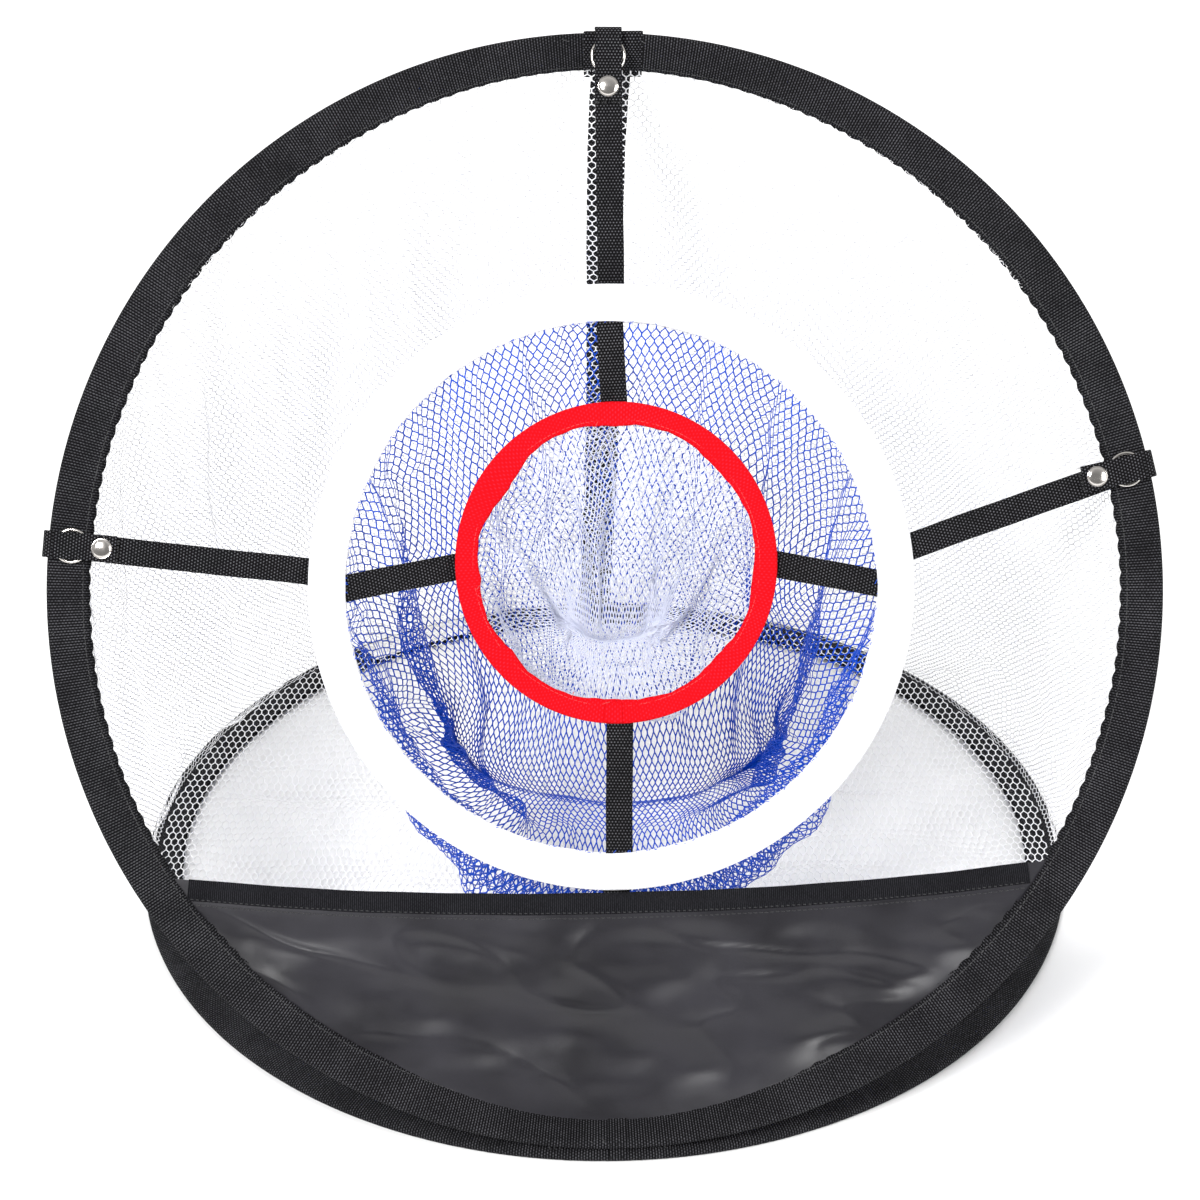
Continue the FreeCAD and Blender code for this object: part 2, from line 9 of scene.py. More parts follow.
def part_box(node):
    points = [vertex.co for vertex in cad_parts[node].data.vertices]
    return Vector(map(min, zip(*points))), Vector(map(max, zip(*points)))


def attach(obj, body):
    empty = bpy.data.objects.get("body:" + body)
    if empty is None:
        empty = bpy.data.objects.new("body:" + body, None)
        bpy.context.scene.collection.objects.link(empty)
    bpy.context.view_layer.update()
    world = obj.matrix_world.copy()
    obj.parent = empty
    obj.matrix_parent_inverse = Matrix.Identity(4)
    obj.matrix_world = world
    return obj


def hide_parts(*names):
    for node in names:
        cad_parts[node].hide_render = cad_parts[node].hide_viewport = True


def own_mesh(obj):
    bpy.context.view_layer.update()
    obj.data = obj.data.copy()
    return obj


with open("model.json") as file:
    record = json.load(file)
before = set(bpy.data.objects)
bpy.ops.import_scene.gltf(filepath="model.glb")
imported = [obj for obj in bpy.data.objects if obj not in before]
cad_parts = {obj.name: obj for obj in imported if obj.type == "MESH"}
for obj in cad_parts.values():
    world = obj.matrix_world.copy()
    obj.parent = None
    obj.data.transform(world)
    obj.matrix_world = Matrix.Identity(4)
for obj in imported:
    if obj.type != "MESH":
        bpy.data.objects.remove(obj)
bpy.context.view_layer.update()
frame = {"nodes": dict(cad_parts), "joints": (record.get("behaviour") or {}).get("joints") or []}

# Looks of a pop-up golf chipping net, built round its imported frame.
# Shapes are worked out in millimetres, mostly in the frame of a ring: x across, y up the
# ring's face, z out of its face. Angles go round a ring from +x, anticlockwise.

MM = 0.001
TURN = 2 * math.pi
LEFT = math.pi
TOP = math.pi / 2
BOTTOM = -math.pi / 2

# ---- webbing
STRAP_THICKNESS = 1.2
STRAP_WIDTH = 12.7
REAR_STRAP_WIDTH = 19.0
PATCH_SHIFT = 6.0
RIB = 1.25
DASH = 1.55
SCALLOP = 3.9
TUCK = 5.0

# ---- black cloth
WARP_PITCH = 0.45
WEFT_PITCH = 0.38
HEM = 10.2
HEM_HALF = 201
PANEL_COLUMNS = 260
PANEL_ROWS = 64
HALF_CLOTH = 0.2
STITCH_PITCH = 2.6
WRINKLES = 3.6
CREASES = 1.1

# ---- nets
WALL_PITCH = 4.0
WALL_ROW = 3.6
WALL_THREAD = 0.72
FLOOR_ROW = 5.6
FLOOR_THREAD = 0.8
FLOOR_RISE = 26.0
SEWN_IN = 4.0
BLUE_PITCH = 4.3
BLUE_ROW = 3.7
BLUE_THREAD = 0.7
INNER_PITCH = 2.9
INNER_ROW = 2.6
INNER_THREAD = 0.68

# ---- the cloth simulation
DAMPING = 4.0
GRAVITY_SHARE = 0.5

# ---- the fold, and the share of its height a piece keeps when it is folded flat
FOLD_JOINT = "fold"
WALL_KEEP = 0.04
POCKET_KEEP = 0.02
FLOOR_KEEP = 0.5


# ---- rings of the frame


def node_points(node):
    """A frame node's points, in millimetres."""
    return np.array([v.co for v in frame["nodes"][node].data.vertices]) / MM


class Ring:
    """A wire ring's own frame, read from its wire and its binding."""

    def __init__(self, name):
        wire = node_points(f"{name}_wire")
        middle = wire.mean(0)
        normal = np.linalg.svd(wire - middle, full_matrices=False)[2][2]
        self.z = normal * np.sign(normal[2])
        self.x = np.array([1.0, 0.0, 0.0])
        self.y = np.cross(self.z, self.x)
        flat = (wire - middle) @ np.column_stack([self.x, self.y])
        system = np.column_stack([flat, np.ones(len(flat))])
        fit = np.linalg.lstsq(system, (flat**2).sum(1), rcond=None)[0]
        self.centre = middle + fit[0] / 2 * self.x + fit[1] / 2 * self.y
        self.wire = math.sqrt(fit[2] + (fit[0] ** 2 + fit[1] ** 2) / 4)
        edge = np.linalg.norm(self.local(node_points(f"{name}_binding"))[:, :2], axis=1)
        self.outer = edge.max()
        self.inner = edge.min()
        self.nose = self.outer - self.wire
        self.band = self.outer - self.inner

    def local(self, points):
        return (points - self.centre) @ np.column_stack([self.x, self.y, self.z])

    def world(self, points):
        return self.centre + points @ np.array([self.x, self.y, self.z])

    def piece(self, node_name):
        """A frame node's points in the ring's own axes."""
        return self.local(node_points(node_name))

    def centre_in(self, other):
        return other.local(self.centre[None])[0]


front = Ring("front")
base = Ring("base")
middle = Ring("middle_ring")
inner = Ring("inner_ring")


# ---- small helpers


def ripple(angle, orders, seed):
    """A smooth wander round a ring, from about -1 to 1."""
    rng = np.random.default_rng(seed)
    phases = rng.uniform(0, TURN, len(orders))
    weights = rng.uniform(0.5, 1, len(orders))
    waves = [w * np.sin(k * angle + p) for k, p, w in zip(orders, phases, weights)]
    return sum(waves) / weights.sum()


def near(angle, at, width):
    """1 at an angle, falling smoothly to 0 away from it."""
    off = (angle - at + math.pi) % TURN - math.pi
    return np.exp(-((off / width) ** 2))


def smooth_step(t):
    t = np.clip(t, 0, 1)
    return t * t * (3 - 2 * t)


def unit(v):
    return v / np.maximum(np.linalg.norm(v, axis=-1, keepdims=True), 1e-9)


def noise_field(points, scale, seed):
    """Soft noise at many points, from about -1 to 1."""
    shift = Vector((seed * 7.31, seed * 3.17, seed * 5.03))
    values = [noise.noise(Vector(p) / scale + shift) for p in points.reshape(-1, 3)]
    return np.array(values).reshape(points.shape[:-1])


# ---- meshes


def quad_mesh(name, points, quads, uv=None, smooth=True):
    """A mesh of four-sided faces from arrays: points in millimetres, uv per point."""
    quads = np.asarray(quads, np.int32)
    mesh = bpy.data.meshes.new(name)
    mesh.vertices.add(len(points))
    mesh.vertices.foreach_set("co", (np.asarray(points) * MM).astype(np.float32).ravel())
    mesh.loops.add(quads.size)
    mesh.loops.foreach_set("vertex_index", quads.ravel())
    mesh.polygons.add(len(quads))
    mesh.polygons.foreach_set("loop_start", np.arange(0, quads.size, 4, dtype=np.int32))
    mesh.polygons.foreach_set("use_smooth", np.full(len(quads), smooth))
    if uv is not None:
        layer = mesh.uv_layers.new(name="UVMap")
        layer.data.foreach_set("uv", np.asarray(uv)[quads.ravel()].astype(np.float32).ravel())
    mesh.update(calc_edges=True)
    mesh.validate()
    return mesh


def add_piece(name, mesh, body, material, node_name=None):
    """Adds a visible piece. It stands for the frame node of its own name, or the one given."""
    made = bpy.data.objects.new(name, mesh)
    bpy.context.scene.collection.objects.link(made)
    mesh.materials.append(material)
    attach(made, body)
    stands_for = node_name or name
    if stands_for in frame["nodes"]:
        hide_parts(stands_for)
    return made


def grid_quads(rows, columns, closed_rows=False, closed_columns=False, start=0):
    """Faces of a grid of points stored row by row."""
    r = np.arange(rows if closed_rows else rows - 1)
    c = np.arange(columns if closed_columns else columns - 1)
    r, c = np.meshgrid(r, c, indexing="ij")
    r, c = r.ravel(), c.ravel()
    r2 = (r + 1) % rows
    c2 = (c + 1) % columns
    return start + np.stack([r * columns + c, r * columns + c2, r2 * columns + c2, r2 * columns + c], 1)


def swept(name, loops, uv_along, uv_round, closed, flip=False):
    """Skin between closed section loops: loops[i, j] is point j of section i."""
    sections, count = loops.shape[:2]
    points = loops.reshape(-1, 3)
    quads = grid_quads(sections, count, closed, True)
    if not closed:
        half = count // 2
        j = np.arange(half - 1)
        for at, turn in ((0, False), ((sections - 1) * count, True)):
            cap = at + np.stack([j, j + 1, count - 2 - j, count - 1 - j], 1)
            quads = np.vstack([quads, cap[:, ::-1] if turn else cap])
    if flip:
        quads = quads[:, ::-1]
    uv = np.stack(np.broadcast_arrays(uv_along[:, None], uv_round[None, :]), -1).reshape(-1, 2)
    return quad_mesh(name, points, quads, uv)


def join_meshes(name, parts):
    """One quad mesh from several (points, quads, uv) parts."""
    points, quads, uvs = [], [], []
    start = 0
    for p, q, u in parts:
        points.append(p)
        quads.append(np.asarray(q) + start)
        uvs.append(u)
        start += len(p)
    return quad_mesh(name, np.vstack(points), np.vstack(quads), np.vstack(uvs))


# ---- materials


def new_material(name, colour, roughness=0.8, metallic=0.0, sheen=0.0, gloss=0.5):
    """A plain material under the given name."""
    material = bpy.data.materials.new(name)
    material.use_nodes = True
    shader = material.node_tree.nodes["Principled BSDF"]
    shader.inputs["Base Color"].default_value = (*colour, 1)
    shader.inputs["Roughness"].default_value = roughness
    shader.inputs["Metallic"].default_value = metallic
    shader.inputs["Sheen Weight"].default_value = sheen
    shader.inputs["Specular IOR Level"].default_value = gloss
    return material, material.node_tree, shader


def node(tree, kind, **values):
    made = tree.nodes.new(kind)
    for key, value in values.items():
        setattr(made, key, value)
    return made


def math_node(tree, operation, a, b=None):
    made = node(tree, "ShaderNodeMath", operation=operation)
    for socket, value in zip(made.inputs, (a, b)):
        if value is None:
            continue
        if isinstance(value, (int, float)):
            socket.default_value = value
        else:
            tree.links.new(value, socket)
    return made.outputs[0]


def ramp(tree, factor, stops):
    made = node(tree, "ShaderNodeValToRGB")
    while len(made.color_ramp.elements) < len(stops):
        made.color_ramp.elements.new(0.5)
    for element, (position, colour) in zip(made.color_ramp.elements, stops):
        element.position = position
        element.color = (*colour, 1)
    tree.links.new(factor, made.inputs["Fac"])
    return made.outputs["Color"]


def bump(tree, shader, height, strength, distance):
    made = node(tree, "ShaderNodeBump")
    made.inputs["Strength"].default_value = strength
    made.inputs["Distance"].default_value = distance
    tree.links.new(height, made.inputs["Height"])
    tree.links.new(made.outputs["Normal"], shader.inputs["Normal"])


def object_noise(tree, scale, detail=3.0):
    place = node(tree, "ShaderNodeTexCoord")
    made = node(tree, "ShaderNodeTexNoise")
    made.inputs["Scale"].default_value = scale
    made.inputs["Detail"].default_value = detail
    tree.links.new(place.outputs["Object"], made.inputs["Vector"])
    return made.outputs["Fac"]


def webbing_material(name, dark, light, rib=RIB, dash=DASH, roughness=0.85, relief=0.5, floats=1.0):
    """Woven webbing: ribs across the band, each a row of short floats, staggered row to row. The float tops
    get the light colour as a painted highlight; the hollows between keep the dark colour.

    floats is how far the ribs break up into separate floats.

    The mesh's UV map is in millimetres, along the band and across it.
    """
    material, tree, shader = new_material(name, light, roughness, gloss=0.12)
    uv = node(tree, "ShaderNodeUVMap", uv_map="UVMap")
    split = node(tree, "ShaderNodeSeparateXYZ")
    tree.links.new(uv.outputs["UV"], split.inputs["Vector"])
    rows = math_node(tree, "DIVIDE", split.outputs["X"], rib)
    row_phase = math_node(tree, "MULTIPLY", rows, TURN)
    row_wave = math_node(tree, "COSINE", row_phase)
    row_height = math_node(tree, "MULTIPLY_ADD", row_wave, 0.5)
    row_height.node.inputs[2].default_value = 0.5
    row_number = math_node(tree, "FLOOR", math_node(tree, "ADD", rows, 0.5))
    stagger = math_node(tree, "MULTIPLY", row_number, math.pi)
    dash_phase = math_node(tree, "MULTIPLY", split.outputs["Y"], TURN / dash)
    dash_wave = math_node(tree, "SINE", math_node(tree, "ADD", dash_phase, stagger))
    dash_height = math_node(tree, "MULTIPLY_ADD", dash_wave, 0.5 * floats)
    dash_height.node.inputs[2].default_value = 1 - 0.5 * floats
    dots = math_node(tree, "MULTIPLY", row_height, dash_height)
    grain = object_noise(tree, 900)
    # highlight_patches: broad patches where the painted float highlights are brighter or dimmer
    highlight_patches = object_noise(tree, 45)
    spread = math_node(tree, "MULTIPLY", dots, math_node(tree, "ADD", grain, 0.25))
    shade = math_node(tree, "MULTIPLY", spread, math_node(tree, "ADD", highlight_patches, 0.75))
    middle_tone = tuple(low + 0.3 * (high - low) for low, high in zip(dark, light))
    # painted highlight: the ramp turns float height into colour, light on the float tops and dark in the
    # hollows
    colour = ramp(tree, shade, [(0.2, dark), (0.55, middle_tone), (0.9, light)])
    tree.links.new(colour, shader.inputs["Base Color"])
    bump(tree, shader, math_node(tree, "ADD", dots, math_node(tree, "MULTIPLY", grain, 0.3)), relief, 0.0004)
    return material


def net_material(name, colour, roughness):
    """Monofilament of one plain colour; a net's detail is in its threads."""
    return new_material(name, colour, roughness, gloss=0.3)[0]


def metal_material(name, colour, roughness):
    material, tree, shader = new_material(name, colour, roughness, metallic=1.0)
    haze = object_noise(tree, 350)
    marks = ramp(tree, haze, [(0.35, (roughness * 0.7,) * 3), (0.75, (roughness * 1.6,) * 3)])
    tree.links.new(marks, shader.inputs["Roughness"])
    bump(tree, shader, object_noise(tree, 700, 5), 0.08, 0.0002)
    return material


def cloth_material(name, dark, light):
    """Thin satin polyester: fine plain weave, soft shine on its creases."""
    material, tree, shader = new_material(name, light, 0.36, gloss=0.5)
    uv = node(tree, "ShaderNodeUVMap", uv_map="UVMap")
    split = node(tree, "ShaderNodeSeparateXYZ")
    tree.links.new(uv.outputs["UV"], split.inputs["Vector"])
    warp = math_node(tree, "SINE", math_node(tree, "MULTIPLY", split.outputs["X"], TURN / WARP_PITCH))
    weft = math_node(tree, "SINE", math_node(tree, "MULTIPLY", split.outputs["Y"], TURN / WEFT_PITCH))
    weave = math_node(tree, "MULTIPLY", warp, weft)
    tone = object_noise(tree, 26, 4)
    grain = object_noise(tree, 1300, 2)
    shades = [math_node(tree, "MULTIPLY", field, share) for field, share in ((tone, 0.7), (grain, 0.3))]
    mixed = math_node(tree, "ADD", *shades)
    tree.links.new(ramp(tree, mixed, [(0.3, dark), (0.7, light)]), shader.inputs["Base Color"])
    gloss = ramp(tree, tone, [(0.3, (0.3,) * 3), (0.7, (0.45,) * 3)])
    tree.links.new(gloss, shader.inputs["Roughness"])
    bump(tree, shader, weave, 0.12, 0.0001)
    return material


def thread_material(name, colour, scale=2200):
    material, tree, shader = new_material(name, colour, 0.7, sheen=0.2)
    twist = object_noise(tree, scale, 2)
    darker = tuple(0.6 * c for c in colour)
    tree.links.new(ramp(tree, twist, [(0.35, darker), (0.65, colour)]), shader.inputs["Base Color"])
    bump(tree, shader, twist, 0.3, 0.0001)
    return material


# The light colour of each webbing, binding and the hem is a painted highlight on its float tops.
black_webbing = webbing_material("black_webbing", (0.0015, 0.0015, 0.002), (0.11, 0.11, 0.12),
                                 rib=1.4, relief=0.9)
black_binding = webbing_material("black_binding", (0.001, 0.001, 0.0015), (0.075, 0.075, 0.083),
                                 rib=1.35, relief=0.9, floats=0.55)
white_webbing = webbing_material("white_webbing", (0.76, 0.76, 0.79), (0.9, 0.9, 0.91),
                                 rib=1.1, dash=2.2, relief=0.4)
red_webbing = webbing_material("red_webbing", (0.58, 0.0, 0.004), (0.9, 0.012, 0.03),
                               rib=1.4, dash=2.3, relief=0.5)
black_cloth = cloth_material("black_cloth", (0.005, 0.0045, 0.0065), (0.013, 0.012, 0.018))
hem_cloth = webbing_material("hem_cloth", (0.002, 0.002, 0.003), (0.02, 0.02, 0.024),
                             rib=0.95, relief=0.5, floats=0.2)
white_net = net_material("white_net", (0.95, 0.95, 0.96), 0.5)
# painted shade: the pocket's white net gets a darker lavender-grey for the shade inside the pocket
shaded_pocket_white = net_material("shaded_pocket_white", (0.74, 0.77, 0.9), 0.5)
blue_net = net_material("blue_net", (0.0, 0.075, 0.62), 0.42)
white_tape = thread_material("white_tape", (0.92, 0.92, 0.92), 400)
black_thread = thread_material("black_thread", (0.012, 0.012, 0.014))
red_thread = thread_material("red_thread", (0.75, 0.01, 0.02))
white_thread = thread_material("white_thread", (0.82, 0.82, 0.84))
steel = metal_material("spring_steel", (0.42, 0.42, 0.43), 0.35)
crimped = metal_material("crimp_steel", (0.5, 0.5, 0.5), 0.4)
nickel = metal_material("nickel_plate", (0.62, 0.59, 0.56), 0.14)


# ---- bindings


class Band:
    """Binding folded round a ring's wire, which tips about the wire from place to place."""

    def __init__(self, ring, tilt, width, ply, half_gap):
        self.ring = ring
        self.tilt = tilt
        self.width = width
        self.ply = ply
        self.half_gap = half_gap
        self.depth = ring.band - ring.nose

    def face(self, inward):
        """Height of the front ply's face at a distance in from the wire."""
        nose = self.ring.nose
        outside = self.half_gap + self.ply
        share = np.clip(inward / self.depth, 0, 1)
        sloped = outside + (nose - outside) * (1 - share) + 0.35 * np.sin(math.pi * share)
        return np.where(inward < 0, np.sqrt(np.maximum(nose**2 - np.minimum(inward, 0) ** 2, 0)), sloped)

    def at(self, angle, inward, height):
        """Ring-frame point at a distance in from the wire and a height above its middle plane."""
        tilt = self.tilt(angle)
        along = inward * np.cos(tilt) + height * np.sin(tilt)
        up = height * np.cos(tilt) - inward * np.sin(tilt)
        radius = self.ring.wire - along
        return np.stack(np.broadcast_arrays(radius * np.cos(angle), radius * np.sin(angle), up), -1)


def front_tilt(angle):
    """The net pulls the band's inner edge back at the top, and the seam does at the bottom."""
    return 0.74 * near(angle, TOP, 0.66) + 0.95 * near(angle, BOTTOM, 0.42) + 0.03 * ripple(angle, (5, 9), 1)


def base_tilt(angle):
    """Lies almost flat; the net lifts its inner edge a little at the sides and the front."""
    sides = near(angle, LEFT, 0.7) + near(angle, 0.0, 0.7)
    return -0.12 * sides - 0.22 * near(angle, BOTTOM, 0.6) + 0.04 * ripple(angle, (4, 9, 13), 2)


def wandering(size, orders, seed):
    """A tilt or a width that only wanders a little round its ring."""
    return lambda angle: size * ripple(angle, orders, seed)


def inner_width(angle):
    """Puckered: short flat stretches, and one wide fold at the upper left."""
    flats = np.abs(np.sin(4 * angle + 0.9 * ripple(angle, (1, 2, 3), 8)))
    return 1.3 - 1.9 * flats + 3.0 * near(angle, 2.55, 0.3) + 0.3 * ripple(angle, (17, 29), 9)


front_band = Band(front, front_tilt, wandering(0.2, (7, 13, 29), 5), ply=0.9, half_gap=0.3)
base_band = Band(base, base_tilt, wandering(0.3, (9, 17, 31), 6), ply=0.9, half_gap=0.3)
middle_band = Band(middle, wandering(0.06, (3, 7, 12), 3), wandering(0.25, (11, 17, 31), 7),
                   ply=0.8, half_gap=0.9)
inner_band = Band(inner, wandering(0.1, (4, 7, 11), 4), inner_width, ply=0.8, half_gap=0.3)


def binding(name, band, body, material, columns, scallop, flat_below=None):
    """The folded webbing as one closed skin: front ply, nose, rear ply, and the inside."""
    ring = band.ring
    angle = np.arange(columns) / columns * TURN + BOTTOM
    depth = band.depth
    half_gap = band.half_gap
    channel = ring.nose - band.ply
    outside = half_gap + band.ply
    teeth = np.abs(np.sin(angle * ring.inner / SCALLOP * math.pi / 2))
    reach = depth - scallop + band.width(angle) + 0.35 * scallop * teeth
    rear_reach = depth - scallop + band.width(angle) + scallop * (0.6 + 1.4 * teeth)
    share = np.linspace(1, 0, 7)
    arc = np.linspace(TOP, BOTTOM, 9)[1:-1]
    back_share = share[::-1]
    columns_in = []
    columns_up = []

    def column(inward, height):
        columns_in.append(np.broadcast_to(inward, columns))
        columns_up.append(np.broadcast_to(height, columns))

    for s in share:
        column(reach * s, outside + (ring.nose - outside) * (1 - s) + 0.35 * math.sin(math.pi * s))
    for a in arc:
        column(-ring.nose * math.cos(a), ring.nose * math.sin(a))
    for s in back_share:
        column(rear_reach * s, -outside - (ring.nose - outside) * (1 - s))
    for s in share[::2]:
        column(rear_reach * s * 0.995, -half_gap - (channel - half_gap) * (1 - s))
    for a in arc[::-2]:
        column(-channel * math.cos(a), channel * math.sin(a))
    for s in back_share[::2]:
        column(reach * s * 0.995, half_gap + (channel - half_gap) * (1 - s))
    inward = np.stack(columns_in, 1)
    height = np.stack(columns_up, 1)
    pucker = 0.22 * np.sin(angle * ring.wire / RIB * TURN / 7) * ripple(angle, (5, 8, 13), 11)
    height = height + pucker[:, None] * np.clip(inward / depth, 0, 1)
    points = band.at(angle[:, None], inward, height)
    if flat_below is not None:
        points[..., 2] = np.maximum(points[..., 2], flat_below)
    step = np.hypot(np.diff(inward[0]), np.diff(height[0]))
    around = np.concatenate([[0], np.cumsum(step)])
    along = np.arange(columns) * (TURN * ring.wire / columns)
    loops = ring.world(points)
    mesh = swept(name, loops, along, around, closed=True)
    return add_piece(name, mesh, body, material)


def ground_in(ring):
    """Height of the ground in a level ring's frame, with a hair of room."""
    return -ring.centre[2] + 0.05


binding("front_binding", front_band, "front_hoop", black_binding, columns=1800, scallop=0.7)
binding("base_binding", base_band, "base_hoop", black_binding, columns=1700, scallop=0.6,
        flat_below=ground_in(base))
binding("middle_ring_binding", middle_band, "front_hoop", white_webbing, columns=900, scallop=0.15)
binding("inner_ring_binding", inner_band, "front_hoop", red_webbing, columns=560, scallop=0.15)


# ---- straps


def rounded_section(width, thickness, crown=0.12):
    """Closed section of webbing: top left to right, then the underside back."""
    x = np.array([-0.5, -0.46, -0.25, 0.0, 0.25, 0.46, 0.5]) * width
    edge = np.array([0.3, 0.5, 0.5, 0.5, 0.5, 0.5, 0.3]) * thickness
    lift = crown * (1 - (2 * x / width) ** 2)
    top = np.stack([x, edge + lift], 1)
    low = np.stack([x[::-1], -edge[::-1] + lift[::-1] * 0.3], 1)
    return np.vstack([top, low])


def resample(path, step):
    """Points every step or so along a path of points, with its corners rounded off."""
    path = np.asarray(path, float)
    length = np.concatenate([[0], np.cumsum(np.linalg.norm(np.diff(path, axis=0), axis=1))])
    count = max(4, int(length[-1] / step))
    at = np.linspace(0, length[-1], count)
    even = np.stack([np.interp(at, length, path[:, k]) for k in range(path.shape[1])], 1)
    for _ in range(3):
        even[1:-1] = (even[:-2] + 2 * even[1:-1] + even[2:]) / 4
    return even, at


def ribbon_loops(path, across, width, thickness, step=1.0, wander=0.12, seed=0):
    """Section loops of a flat strap along a path. across is its width direction."""
    line, at = resample(path, step)
    forward = unit(np.gradient(line, axis=0))
    across = unit(np.broadcast_to(across, line.shape) - forward * (forward @ unit(across))[:, None])
    normal = np.cross(forward, across)
    section = rounded_section(width, thickness)
    rng = np.random.default_rng(seed)
    edge = wander * np.sin(at / 9 + rng.uniform(0, TURN)) * np.sin(at / 23 + 1)
    side = section[:, 0][None, :] + edge[:, None]
    loops = line[:, None] + across[:, None] * side[..., None] + normal[:, None] * section[:, 1][None, :, None]
    return loops, at, section[:, 0] + width


def strap(name, ring, path, across, width, body, seed, thickness=STRAP_THICKNESS, node_name=None):
    """Flat black webbing along a path, given in the ring's frame."""
    loops, at, round_at = ribbon_loops(path, np.asarray(across, float), width, thickness, seed=seed)
    mesh = swept(name, ring.world(loops), at, round_at, closed=False)
    return add_piece(name, mesh, body, black_webbing, node_name)


def run_of(node_name, ring):
    """Ends of a straight strap of the frame in a ring's frame, the outer end first."""
    points = ring.piece(node_name)
    centre = points[:, :2].mean(0)
    axis = np.linalg.svd(points[:, :2] - centre, full_matrices=False)[2][0]
    reach = (points[:, :2] - centre) @ axis
    ends = [centre + axis * reach.min(), centre + axis * reach.max()]
    ends.sort(key=lambda p: -np.hypot(*p))
    return ends, points[:, 2].min() + STRAP_THICKNESS / 2


def strap_frame(start, end):
    forward = unit(end - start)
    return forward, np.array([-forward[1], forward[0], 0.0])


def along_run(start, forward, pairs):
    return [(*(start + forward * x), z) for x, z in pairs]


def outer_strap(side):
    """Loops round the chrome ring, then runs down to the back of the white ring."""
    (_, end), low = run_of(f"outer_strap_{side}", front)
    stud = front.piece(f"snap_stud_{side}")
    ring_points = front.piece(f"o_ring_{side}")
    ring_centre = ring_points.mean(0)
    rod = (ring_points[:, 2].max() - ring_points[:, 2].min()) / 2
    ring_radius = np.linalg.norm(ring_points[:, :2] - ring_centre[:2], axis=1).max() - rod
    height = stud[:, 2].min() + 0.45 + STRAP_THICKNESS / 2
    forward, across = strap_frame(ring_centre[:2], end)
    length = np.linalg.norm(end - ring_centre[:2])
    turn = rod + STRAP_THICKNESS / 2 + 0.1
    rod_z = ring_centre[2]
    pairs = [(ring_radius + 3.0, rod_z + 0.9)]
    for a in np.linspace(-0.3, math.pi, 9):
        pairs.append((ring_radius - turn * math.sin(a), rod_z + turn * math.cos(a)))
    sag = 0.8
    pairs += [(ring_radius + 5, height), (24, height), (length * 0.55, (height + low) / 2 - sag)]
    pairs += [(length - 26, low - 0.3), (length, low)]
    path = along_run(ring_centre[:2], forward, pairs)
    strap(f"outer_strap_{side}", front, path, across, STRAP_WIDTH, "front_hoop", seed=len(side))


for side in ("top", "left", "right"):
    outer_strap(side)


def plain_strap(name, seed):
    (start, end), low = run_of(name, front)
    forward, across = strap_frame(start, end)
    length = np.linalg.norm(end - start)
    points = front.piece(name)
    high = points[:, 2].max() - STRAP_THICKNESS / 2
    pairs = [(0, high), (min(10, length / 4), high), (length - 12, low), (length, low)]
    strap(name, front, along_run(start, forward, pairs), across, STRAP_WIDTH, "front_hoop", seed=seed)


for seed, side in enumerate(("top", "left", "right", "bottom")):
    plain_strap(f"inner_strap_{side}", 20 + seed)


# ---- snap attachments


def polar(radius, angle, height=0.0):
    return np.array([radius * math.cos(angle), radius * math.sin(angle), height])


def lathe(name, profile, centre, ring, body, material, steps=40):
    """Turned part: profile of (radius, height), from the axis out and back to the axis."""
    profile = np.asarray(profile, float)
    turn = np.arange(steps) / steps * TURN
    loops = np.stack([
        np.outer(np.cos(turn), profile[:, 0]),
        np.outer(np.sin(turn), profile[:, 0]),
        np.outer(np.ones(steps), profile[:, 1]),
    ], -1) + centre
    points = ring.world(loops.reshape(-1, 3))
    quads = grid_quads(steps, len(profile), True, False)
    mesh = quad_mesh(name, points, quads[:, ::-1])
    return add_piece(name, mesh, body, material)


def torus(name, centre, radius, rod, ring, body, material, steps=64, sides=16):
    turn = np.arange(steps) / steps * TURN
    tube = np.arange(sides) / sides * TURN
    r = radius + rod * np.cos(tube)
    loops = np.stack([
        np.outer(np.cos(turn), r),
        np.outer(np.sin(turn), r),
        np.outer(np.ones(steps), rod * np.sin(tube)),
    ], -1) + centre
    mesh = quad_mesh(name, ring.world(loops.reshape(-1, 3)), grid_quads(steps, sides, True, True))
    return add_piece(name, mesh, body, material)


def thin_rod(line, radius, sides=6):
    """(points, quads, uv) of a thin round thread through a list of points."""
    forward = unit(np.gradient(line, axis=0))
    helper = np.where(np.abs(forward[:, 2:3]) < 0.9, [[0, 0, 1.0]], [[1.0, 0, 0]])
    side = unit(np.cross(forward, helper))
    other = np.cross(forward, side)
    turn = np.arange(sides) / sides * TURN
    taper = np.full(len(line), radius)
    taper[[0, -1]] *= 0.3
    rings = (line[:, None] + taper[:, None, None] * (np.cos(turn)[None, :, None] * side[:, None]
             + np.sin(turn)[None, :, None] * other[:, None]))
    points = rings.reshape(-1, 3)
    quads = grid_quads(len(line), sides, False, True)
    caps = []
    for at in (0, (len(line) - 1) * sides):
        caps.append([at, at + 1, at + 2, at + 3])
        caps.append([at, at + 3, at + 4, at + 5])
    quads = np.vstack([quads, caps])
    length = np.linalg.norm(line - line[0], axis=1)
    uv = np.stack([np.repeat(length, sides), np.tile(turn, len(line))], 1)
    return points, quads, uv


def frayed_end(centre, across, forward, normal, width, seed, strands=34, longest=2.2):
    """Cut threads that stick out of a strap's end."""
    rng = np.random.default_rng(seed)
    parts = []
    for _ in range(strands):
        start = centre + across * rng.uniform(-0.48, 0.48) * width + normal * rng.uniform(-0.4, 0.4)
        aim = unit(forward + across * rng.normal(0, 0.35) + normal * rng.normal(0, 0.25))
        reach = rng.uniform(0.4, 1) * longest
        bend = across * rng.normal(0, 0.5)
        line = np.array([start - forward * 0.6, start + aim * reach * 0.5, start + aim * reach + bend * 0.4])
        parts.append(thin_rod(line, 0.09))
    return parts


